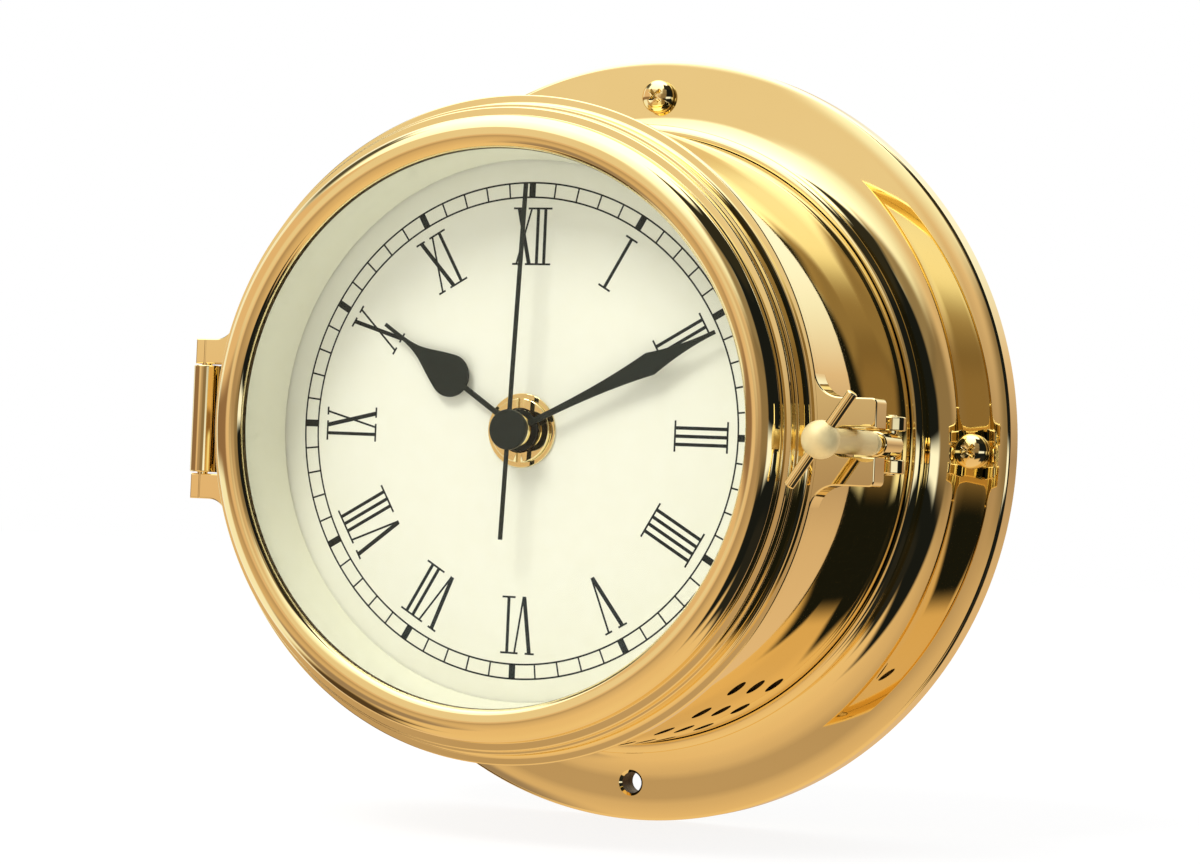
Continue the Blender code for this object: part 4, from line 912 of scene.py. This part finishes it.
def make_lug():
    """The forked lug that the swing bolt drops into."""
    corner = (LUG_END - LUG_CORNER, LUG_HALF - LUG_CORNER)
    upper = [*round_arc((LATCH_X, 0.0), SLOT_HALF, 180.0, 90.0, steps=12), (LUG_END, SLOT_HALF),
             *round_arc(corner, LUG_CORNER, 0.0, 90.0, steps=8), *flare(LUG_HALF, LUG_FLARE, steps=16)]
    whole = upper + [(x, -y) for x, y in reversed(upper[1:])]
    loop = [point for i, point in enumerate(whole) if math.dist(point, whole[i - 1]) > NEAR]
    Skin().slab([loop], LUG_REAR, LUG_FRONT, LUG_EDGE).build("bezel_lug", "bezel", FLAT_BRASS)


def make_hinge():
    """The bezel's two hinge ears, the case's knuckle between them, and the pin."""
    sweep = flare(EAR_OUTER, EAR_FLARE, steps=14)
    ear = [(sweep[-1][0], EAR_INNER), (EAR_END, EAR_INNER), (EAR_END, EAR_OUTER), *sweep]
    upper = [(-x, y) for x, y in reversed(ear)]
    lower = [(-x, -y) for x, y in ear]
    for name, loop in (("hinge_ear_upper", upper), ("hinge_ear_lower", lower)):
        Skin().slab([loop], LUG_REAR, LUG_FRONT, LUG_EDGE).build(name, "bezel", FLAT_BRASS)
    start = -math.degrees(math.asin((HINGE_HEIGHT - WEB_FRONT) / BARREL_RADIUS))
    knuckle = [*round_arc((HINGE_X, HINGE_HEIGHT), BARREL_RADIUS, start, BARREL_END, steps=32),
               (WEB_X, WEB_REAR), (WEB_X, WEB_FRONT)]
    barrel = Skin(turned("X", 90.0)).slab([knuckle], -BARREL_HALF, BARREL_HALF, BARREL_EDGE)
    barrel.build("knuckle_barrel", "case", FLAT_BRASS, "hinge_knuckle")
    pin = Skin(turned("X", -90.0, (HINGE_X, 0.0, HINGE_HEIGHT))).revolve(rod(*HINGE_PIN), PIN_STEPS)
    pin.build("hinge_spindle", "bezel", FLAT_BRASS, "hinge_pin")


def make_latch():
    """The swing bolt: ears and pin on the case, eye, threaded stud, ball knob and tommy bar."""
    base = BODY_RADIUS + SEAT_GAP
    reach = FORK_RADIUS + FORK_SPREAD
    loop = [*round_arc((LATCH_X, PIVOT), FORK_RADIUS, -90.0, 90.0, steps=24),
            (base + FORK_SPREAD, PIVOT + FORK_RADIUS), (base, PIVOT + reach),
            (base, PIVOT - reach), (base + FORK_SPREAD, PIVOT - FORK_RADIUS)]
    for side, middle in (("upper", FORK_MIDDLE), ("lower", -FORK_MIDDLE)):
        ear = Skin(turned("X", 90.0)).slab([loop], -middle - FORK_HALF, -middle + FORK_HALF, FORK_EDGE)
        ear.build("bolt_ear_" + side, "case", FLAT_BRASS, "latch_ear_" + side)
    pivot = turned("X", -90.0, (LATCH_X, 0.0, PIVOT))
    pin = Skin(pivot).revolve(rod(*PIVOT_PIN), PIN_STEPS)
    pin.build("bolt_pin", "case", FLAT_BRASS, "latch_pivot_pin")
    on_bolt = Matrix.Translation((LATCH_X, 0.0, 0.0))
    eye = bend((0.0, PIVOT), EYE_RADIUS, -90.0, 0.0) + path(*EYE)
    body = Skin(on_bolt).revolve(eye, SMALL_STEPS)
    body = body.build("bolt_eye", "swing_bolt", TURNED_BRASS, "latch_trunnion")
    Skin(pivot).revolve(rod(*PIN_BORE), PIN_STEPS).cut_from(body)
    make_thread(on_bolt)
    neck = -math.acos(KNOB_RADIUS / BALL_RADIUS)
    grip = path(*KNOB, (KNOB_RADIUS, BALL_HEIGHT + BALL_RADIUS * math.sin(neck)))
    grip += bend((0.0, BALL_HEIGHT), BALL_RADIUS, math.degrees(neck), 90.0)
    body = Skin(on_bolt).revolve(grip, SMALL_STEPS)
    body = body.build("bolt_grip", "bolt_knob", SATIN_BRASS, "latch_knob")
    cross = turned("Z", BAR_ANGLE, (LATCH_X, 0.0, BALL_HEIGHT)) @ turned("Y", 90.0)
    Skin(cross).revolve(rod(*PIN_BORE), PIN_STEPS).cut_from(body)
    bar = Skin(cross).revolve(rod(*TOMMY_BAR), BAR_STEPS)
    bar.build("bolt_bar", "bolt_knob", FLAT_BRASS, "tommy_bar")


def make_thread(on_bolt):
    """The stud with its thread cut as one helix."""
    length = THREAD_FRONT - THREAD_REAR
    rows = int(length / THREAD_PITCH * THREAD_ROWS)
    grid = []
    for row in range(rows + 1):
        height = THREAD_REAR + length * row / rows
        loop = []
        for i in range(THREAD_STEPS):
            phase = (height / THREAD_PITCH + i / THREAD_STEPS) % 1.0
            reach = THREAD_RADIUS - THREAD_DEPTH * (1.0 - abs(2.0 * phase - 1.0))
            angle = 2.0 * math.pi * i / THREAD_STEPS
            loop.append(Vector((reach * math.cos(angle), reach * math.sin(angle), height)))
        grid.append(loop)
    skin = Skin(on_bolt)
    for low, high in zip(grid, grid[1:]):
        for i in range(THREAD_STEPS):
            j = (i + 1) % THREAD_STEPS
            corners = [low[i], low[j], high[j], high[i]]
            normal = (corners[2] - corners[0]).cross(corners[3] - corners[1])
            skin.face(corners, [normal] * 4)
    skin.flat([[(p.x, p.y) for p in grid[0]]], THREAD_REAR, -1.0)
    skin.flat([[(p.x, p.y) for p in grid[-1]]], THREAD_FRONT, 1.0)
    skin.build("bolt_thread", "bolt_stud", TURNED_BRASS, "latch_stud")


def make_screws():
    """Raised-head screws with a cross recess."""
    shape = path(*SCREW) + oval((0.0, HEAD_RIM), (HEAD_RADIUS, HEAD_DOME), 0.0, 90.0)
    for hour in SCREW_HOURS:
        centre = clock_point(SCREW_CIRCLE, 30.0 * hour)
        head = Skin(Matrix.Translation(centre)).revolve(shape, SMALL_STEPS)
        head = head.build("flange_screw_%d" % hour, "case", FLAT_BRASS, "mounting_screw_%d" % hour)
        for angle in (45.0, 135.0):
            wing = turned("Z", angle, centre) @ turned("X", 90.0)
            Skin(wing).slab([RECESS], -RECESS_HALF, RECESS_HALF).cut_from(head)


def dial_point(across, out, angle):
    """A point of the dial from its place across and out along a clock angle."""
    turn = math.radians(angle)
    sine, cosine = math.sin(turn), math.cos(turn)
    return (out * sine + across * cosine, out * cosine - across * sine)


def stroke(foot, top, width):
    half = width / 2.0
    return [(foot - half, NUMERAL_FOOT), (foot + half, NUMERAL_FOOT),
            (top + half, NUMERAL_TOP), (top - half, NUMERAL_TOP)]


def serif(left, right, top):
    low = NUMERAL_TOP - BAR_THICKNESS if top else NUMERAL_FOOT
    return rectangle(left, right, low, low + BAR_THICKNESS)


def letter(shape, middle):
    """A letter's strokes and bars, set off across the dial."""
    strokes, bars = shape
    shapes = [stroke(middle + foot, middle + top, width) for foot, top, width in strokes]
    return shapes + [serif(middle + left, middle + right, top) for left, right, top in bars]


def uprights(first, count):
    """Strokes in a row with one bar along their tops and one along their feet."""
    last = first + (count - 1) * I_SPACING
    strokes = [(first + i * I_SPACING, first + i * I_SPACING, STROKE_I) for i in range(count)]
    bars = [(first - BAR_OVERHANG, last + BAR_OVERHANG, top) for top in (True, False)]
    return letter((strokes, bars), 0.0)


NUMERALS = {
    1: uprights(0.0, 1),
    2: uprights(-0.75, 2),
    3: uprights(-1.5, 3),
    4: uprights(-2.25, 4),
    5: letter(LETTER_V, -0.2),
    6: letter(LETTER_V, -1.9) + uprights(1.25, 1),
    7: letter(LETTER_V, -2.5) + uprights(0.75, 2),
    8: letter(LETTER_V, -3.1) + uprights(0.45, 3),
    9: uprights(-1.75, 1) + letter(LETTER_X, 1.0),
    10: letter(LETTER_X, 0.0),
    11: letter(LETTER_X, -1.35) + uprights(1.64, 1),
    12: letter(LETTER_X, -1.35) + uprights(1.4, 2),
}


def printed(name, groups):
    """Flat shapes in the dial's plane, joined where they overlap within a group, as one thin layer of ink."""
    skin = Skin()
    for group in groups:
        points = [Vector(point) for shape in group for point in shape]
        faces = []
        start = 0
        for shape in group:
            faces.append(list(range(start, start + len(shape))))
            start += len(shape)
        found, _, triangles, _, _, owners = delaunay_2d_cdt(points, [], faces, 1, INK_MERGE)
        edges = {}
        for triangle, owner in zip(triangles, owners):
            if not owner:
                continue
            a, b, c = (found[i] for i in triangle[:3])
            order = triangle if (b - a).cross(c - a) > 0.0 else triangle[::-1]
            skin.face([(*found[i], INK_TOP) for i in order], [(0.0, 0.0, 1.0)] * len(order))
            skin.face([(*found[i], INK_FLOOR) for i in reversed(order)], [(0.0, 0.0, -1.0)] * len(order))
            edges.update(dict.fromkeys(zip(order, order[1:] + order[:1])))
        for i, j in edges:
            if (j, i) in edges:
                continue
            a, b = found[i], found[j]
            way = (b - a).normalized()
            skin.face([(*a, INK_FLOOR), (*b, INK_FLOOR), (*b, INK_TOP), (*a, INK_TOP)],
                      [(way.y, -way.x, 0.0)] * 4)
    skin.build(name, "case", INK)


def make_printing():
    """Roman numerals as plain hour marks, and the minute track."""
    numerals = []
    for hour, shapes in NUMERALS.items():
        numerals.append([[dial_point(u, v, 30.0 * hour) for u, v in shape] for shape in shapes])
    printed("dial_numerals", numerals)
    half = TRACK_LINE / 2.0
    track = Skin()
    for radius in (TRACK_INNER, TRACK_OUTER):
        track.revolve(ring(radius - half, radius + half, INK_FLOOR, INK_TOP))
    track.build("dial_track", "case", INK)
    marks = []
    for minute in range(60):
        reach = BLOCK_WIDTH / 2.0 if minute % 5 == 0 else half
        corners = rectangle(-reach, reach, TRACK_INNER, TRACK_OUTER)
        marks.append([[dial_point(u, v, 6.0 * minute) for u, v in corners]])
    printed("dial_minutes", marks)


def mirrored(side):
    """A closed outline from its right-hand side, listed from the hub out to the tip."""
    return side + [(-x, y) for x, y in reversed(side)]


def hub_side(radius, stem):
    """The right-hand side of a hand's hub, up to where its stem leaves it."""
    top = 90.0 - math.degrees(math.asin(stem / radius))
    return round_arc((0.0, 0.0), radius, HUB_START, top, steps=28)


def sweep_curve(start, start_pull, end_pull, end, steps=24):
    """A smooth curve that leaves its start and reaches its end along two pulls."""
    knots = [Vector((*point, 0.0)) for point in (start, start_pull, end_pull, end)]
    return [(point.x, point.y) for point in interpolate_bezier(*knots, steps)]


def hour_outline():
    """A spade hand: a thin stem, a round spade drawn out in a hollow curve, and a narrow tip."""
    neck = -90.0 + math.degrees(math.asin(HOUR_STEM / SPADE_RADIUS))
    bow = round_arc((0.0, SPADE_CENTRE), SPADE_RADIUS, neck, SPADE_LEAN, steps=28)
    lean = math.radians(SPADE_LEAN)
    across, up = bow[-1]
    pull = (HOUR_TIP[1] - up) / 2.0
    bow_pull = (across - pull * math.sin(lean), up + pull * math.cos(lean))
    taper = sweep_curve(bow[-1], bow_pull, (HOUR_TIP[0], HOUR_TIP[1] - pull), HOUR_TIP)
    return mirrored([*hub_side(HOUR_HUB, HOUR_STEM), *bow, *taper[1:], (HOUR_TIP[0], HOUR_LENGTH)])


def minute_outline():
    """A leaf hand: hollow sides out to a sharp shoulder, then hollow again to a narrow tip."""
    hub = hub_side(MINUTE_HUB, MINUTE_STEM)
    across, up = LEAF_SHOULDER
    rise = (up - hub[-1][1]) / 2.0
    rear_pull = (LEAF_REAR_PULL[0] * across, up - LEAF_REAR_PULL[1] * rise)
    rear = sweep_curve(hub[-1], (hub[-1][0], hub[-1][1] + rise), rear_pull, LEAF_SHOULDER)
    run = (MINUTE_TIP[1] - up) / 2.0
    front_pull = (LEAF_FRONT_PULL[0] * across, up + LEAF_FRONT_PULL[1] * run)
    tip_pull = (MINUTE_TIP[0], MINUTE_TIP[1] - LEAF_TIP_PULL * run)
    front = sweep_curve(LEAF_SHOULDER, front_pull, tip_pull, MINUTE_TIP)
    return mirrored([*hub, *rear[1:], *front[1:]])


def make_hands():
    """Painted hands with softened edges, and the brass collar between them."""
    for body, outline, bore, rear, angle in (
            ("hour", hour_outline(), HOUR_BORE, HOUR_REAR, HOUR_ANGLE),
            ("minute", minute_outline(), MINUTE_BORE, MINUTE_REAR, MINUTE_ANGLE)):
        loops = [outline, circle(bore, SMALL_STEPS, clockwise=True)]
        blade = Skin(turned("Z", -angle)).slab(loops, rear, rear + HAND_THICKNESS, HAND_EDGE, steps=2)
        blade.build(body + "_blade", body, CHARCOAL, body + "_hand")
    collar = Skin().revolve(path(*COLLAR, closed=True), SMALL_STEPS)
    collar.build("minute_collar", "minute", TURNED_BRASS, "minute_arbor")
    skin = Skin(turned("Z", -SECOND_ANGLE)).revolve(rod(*SECOND_CAP), SMALL_STEPS)
    skin.slab([rectangle(*SECOND_BLADE)], *SECOND_LEVELS, SECOND_EDGE, steps=2)
    skin.build("second_blade", "second", CHARCOAL, "second_hand")


def make_centre():
    """Washer and slotted nut that hold the movement to the dial."""
    Skin().revolve(ring(*WASHER), NUT_STEPS).build("dial_disc", "case", TURNED_BRASS, "dial_washer")
    nut = Skin().revolve(ring(*NUT), NUT_STEPS).build("slotted_nut", "case", TURNED_BRASS, "dial_nut")
    Skin().slab([rectangle(*NUT_SLOT)], *NUT_SLOT_LEVELS).cut_from(nut)


def make_back():
    """Behind the dial: the movement's cover with its screws, the toothed setting knob, and the cell."""
    corners = ((COVER_RIGHT, COVER_TOP), (-COVER_RIGHT, COVER_TOP),
               (-COVER_RIGHT, COVER_FOOT), (COVER_RIGHT, COVER_FOOT))
    cover = []
    for i, corner in enumerate(corners):
        cover += round_arc(corner, COVER_ROUND, 90.0 * i, 90.0 * (i + 1), steps=8)
    mouth = circle(SETTING_MOUTH, SMALL_STEPS, (0.0, SETTING_RISE), clockwise=True)
    plate = Skin().slab([cover, mouth], COVER_REAR, HOUSING_REAR, COVER_EDGE)
    plate.build("movement_cover", "case", MOULDING)
    for i, corner in enumerate(corners):
        screw = Skin(Matrix.Translation((*corner, 0.0))).revolve(rod(*COVER_SCREW), SMALL_STEPS)
        screw.build("cover_screw_%d" % (i + 1), "case", STEEL)
    teeth = []
    for i in range(2 * SETTING_TEETH):
        angle = math.pi * i / SETTING_TEETH
        radius = SETTING_RADIUS - TOOTH_DEPTH * (i % 2)
        teeth.append((radius * math.cos(angle), radius * math.sin(angle)))
    axis = Matrix.Translation((0.0, SETTING_RISE, 0.0))
    grip = Skin(axis).slab([teeth], SETTING_REAR, SETTING_FRONT, SETTING_EDGE)
    grip.build("setting_grip", "setting", MOULDING, "setting_knob")
    Skin(axis).revolve(rod(*SETTING_STEM), SMALL_STEPS).build("setting_stem", "setting", MOULDING)
    lying = turned("Y", 90.0, (0.0, *CELL_AXIS))
    Skin(lying).revolve(rod(*CELL), SMALL_STEPS).build("cell_can", "case", JACKET, "battery_cell")
    Skin(lying).revolve(rod(*TERMINAL), SMALL_STEPS).build("cell_terminal", "case", STEEL)


def dress_nodes():
    """Give the kept CAD nodes their finishes."""
    for name, look in CARRIED.items():
        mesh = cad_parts[name].data
        mesh.materials.clear()
        mesh.materials.append(look)


def make_world():
    """White behind the clock, even light on its paint, and a warm room with screens in its brass."""
    nodes = Nodes(bpy.data.worlds.new("studio"), "Background", "Generated")
    split = nodes.add("ShaderNodeSeparateXYZ")
    nodes.feed(split.inputs[0], nodes.place)
    x, y, z = split.outputs
    azimuth = nodes.maths("DEGREES", nodes.maths("ARCTAN2", x, nodes.maths("MULTIPLY", y, -1.0)))
    elevation = nodes.maths("DEGREES", nodes.maths("ARCSINE", z))
    room = WARM_ROOM[0][1]
    for (low, _), (high, colour) in zip(WARM_ROOM, WARM_ROOM[1:]):
        room = nodes.blend(nodes.span(elevation, 0.0, 1.0, low, high), room, colour)
    for across, upward, soft, colour in SCREENS.values():
        mask = nodes.maths("MULTIPLY", nodes.window(azimuth, across, soft[0]),
                           nodes.window(elevation, upward, soft[1]))
        room = nodes.blend(mask, room, colour)
    rays = nodes.add("ShaderNodeLightPath").outputs
    room = nodes.blend(rays["Is Diffuse Ray"], room, ROOM_LIGHT)
    unreflected = nodes.maths("LESS_THAN", rays["Glossy Depth"], 0.5)
    through = nodes.maths("MULTIPLY", rays["Is Transmission Ray"], unreflected)
    seen = nodes.maths("MAXIMUM", rays["Is Camera Ray"], through)
    bpy.context.scene.world = nodes.set(Color=nodes.blend(seen, room, WHITE))


def make_key():
    """A soft lamp above the front, so that the bezel shades the top of the dial."""
    lamp = bpy.data.lights.new("key", "AREA")
    lamp.shape = "SQUARE"
    lamp.size = KEY_SIZE
    lamp.energy = KEY_POWER
    key = add_object("key", lamp)
    key.location = KEY_PLACE
    key.visible_glossy = False
    key.rotation_euler = (KEY_AIM - KEY_PLACE).to_track_quat("-Z", "Y").to_euler()


def make_floor():
    """A pale floor, lifted to white where the camera sees it, with the clock's shadow left faintly on it."""
    mesh = bpy.data.meshes.new("floor")
    corners = rectangle(-FLOOR_REACH, FLOOR_REACH, -FLOOR_REACH, FLOOR_REACH)
    mesh.from_pydata([(x, y, FLOOR_HEIGHT) for x, y in corners], [], [(0, 1, 2, 3)])
    nodes = material("floor_paper")
    speckle = nodes.noise(60.0, 4.0)
    colour = nodes.blend(nodes.span(speckle, 0.0, 1.0), (0.90, 0.90, 0.90), (0.88, 0.88, 0.88))
    nodes.set(Base_Color=colour, Roughness=nodes.span(speckle, 0.85, 0.95))
    glow = nodes.add("ShaderNodeEmission")
    nodes.feed(glow.inputs["Strength"], FLOOR_LEVEL)
    rays = nodes.add("ShaderNodeLightPath").outputs
    share = nodes.span(rays["Is Camera Ray"], 0.0, FLOOR_GLOW, 0.0, 1.0)
    mesh.materials.append(nodes.mix(share, glow))
    floor = add_object("floor", mesh)
    floor.visible_glossy = False


def make_camera():
    """The photograph's view, with the clock's axis turned away to the left."""
    camera = bpy.data.cameras.new("camera")
    camera.sensor_fit = "HORIZONTAL"
    camera.sensor_width = CAMERA_SENSOR
    camera.lens = CAMERA_LENS
    camera.clip_start = CAMERA_NEAR
    view = add_object("camera", camera)
    view.matrix_world = (turned("Z", CAMERA_YAW, CAMERA_PLACE) @ turned("X", 90.0 + CAMERA_PITCH)
                         @ turned("Z", CAMERA_ROLL))
    bpy.context.scene.camera = view


make_flange()
make_tube()
make_bezel()
make_lug()
make_hinge()
make_latch()
make_screws()
make_printing()
make_hands()
make_centre()
make_back()
dress_nodes()
make_world()
make_key()
make_floor()
make_camera()
bpy.context.scene.view_settings.view_transform = "Standard"
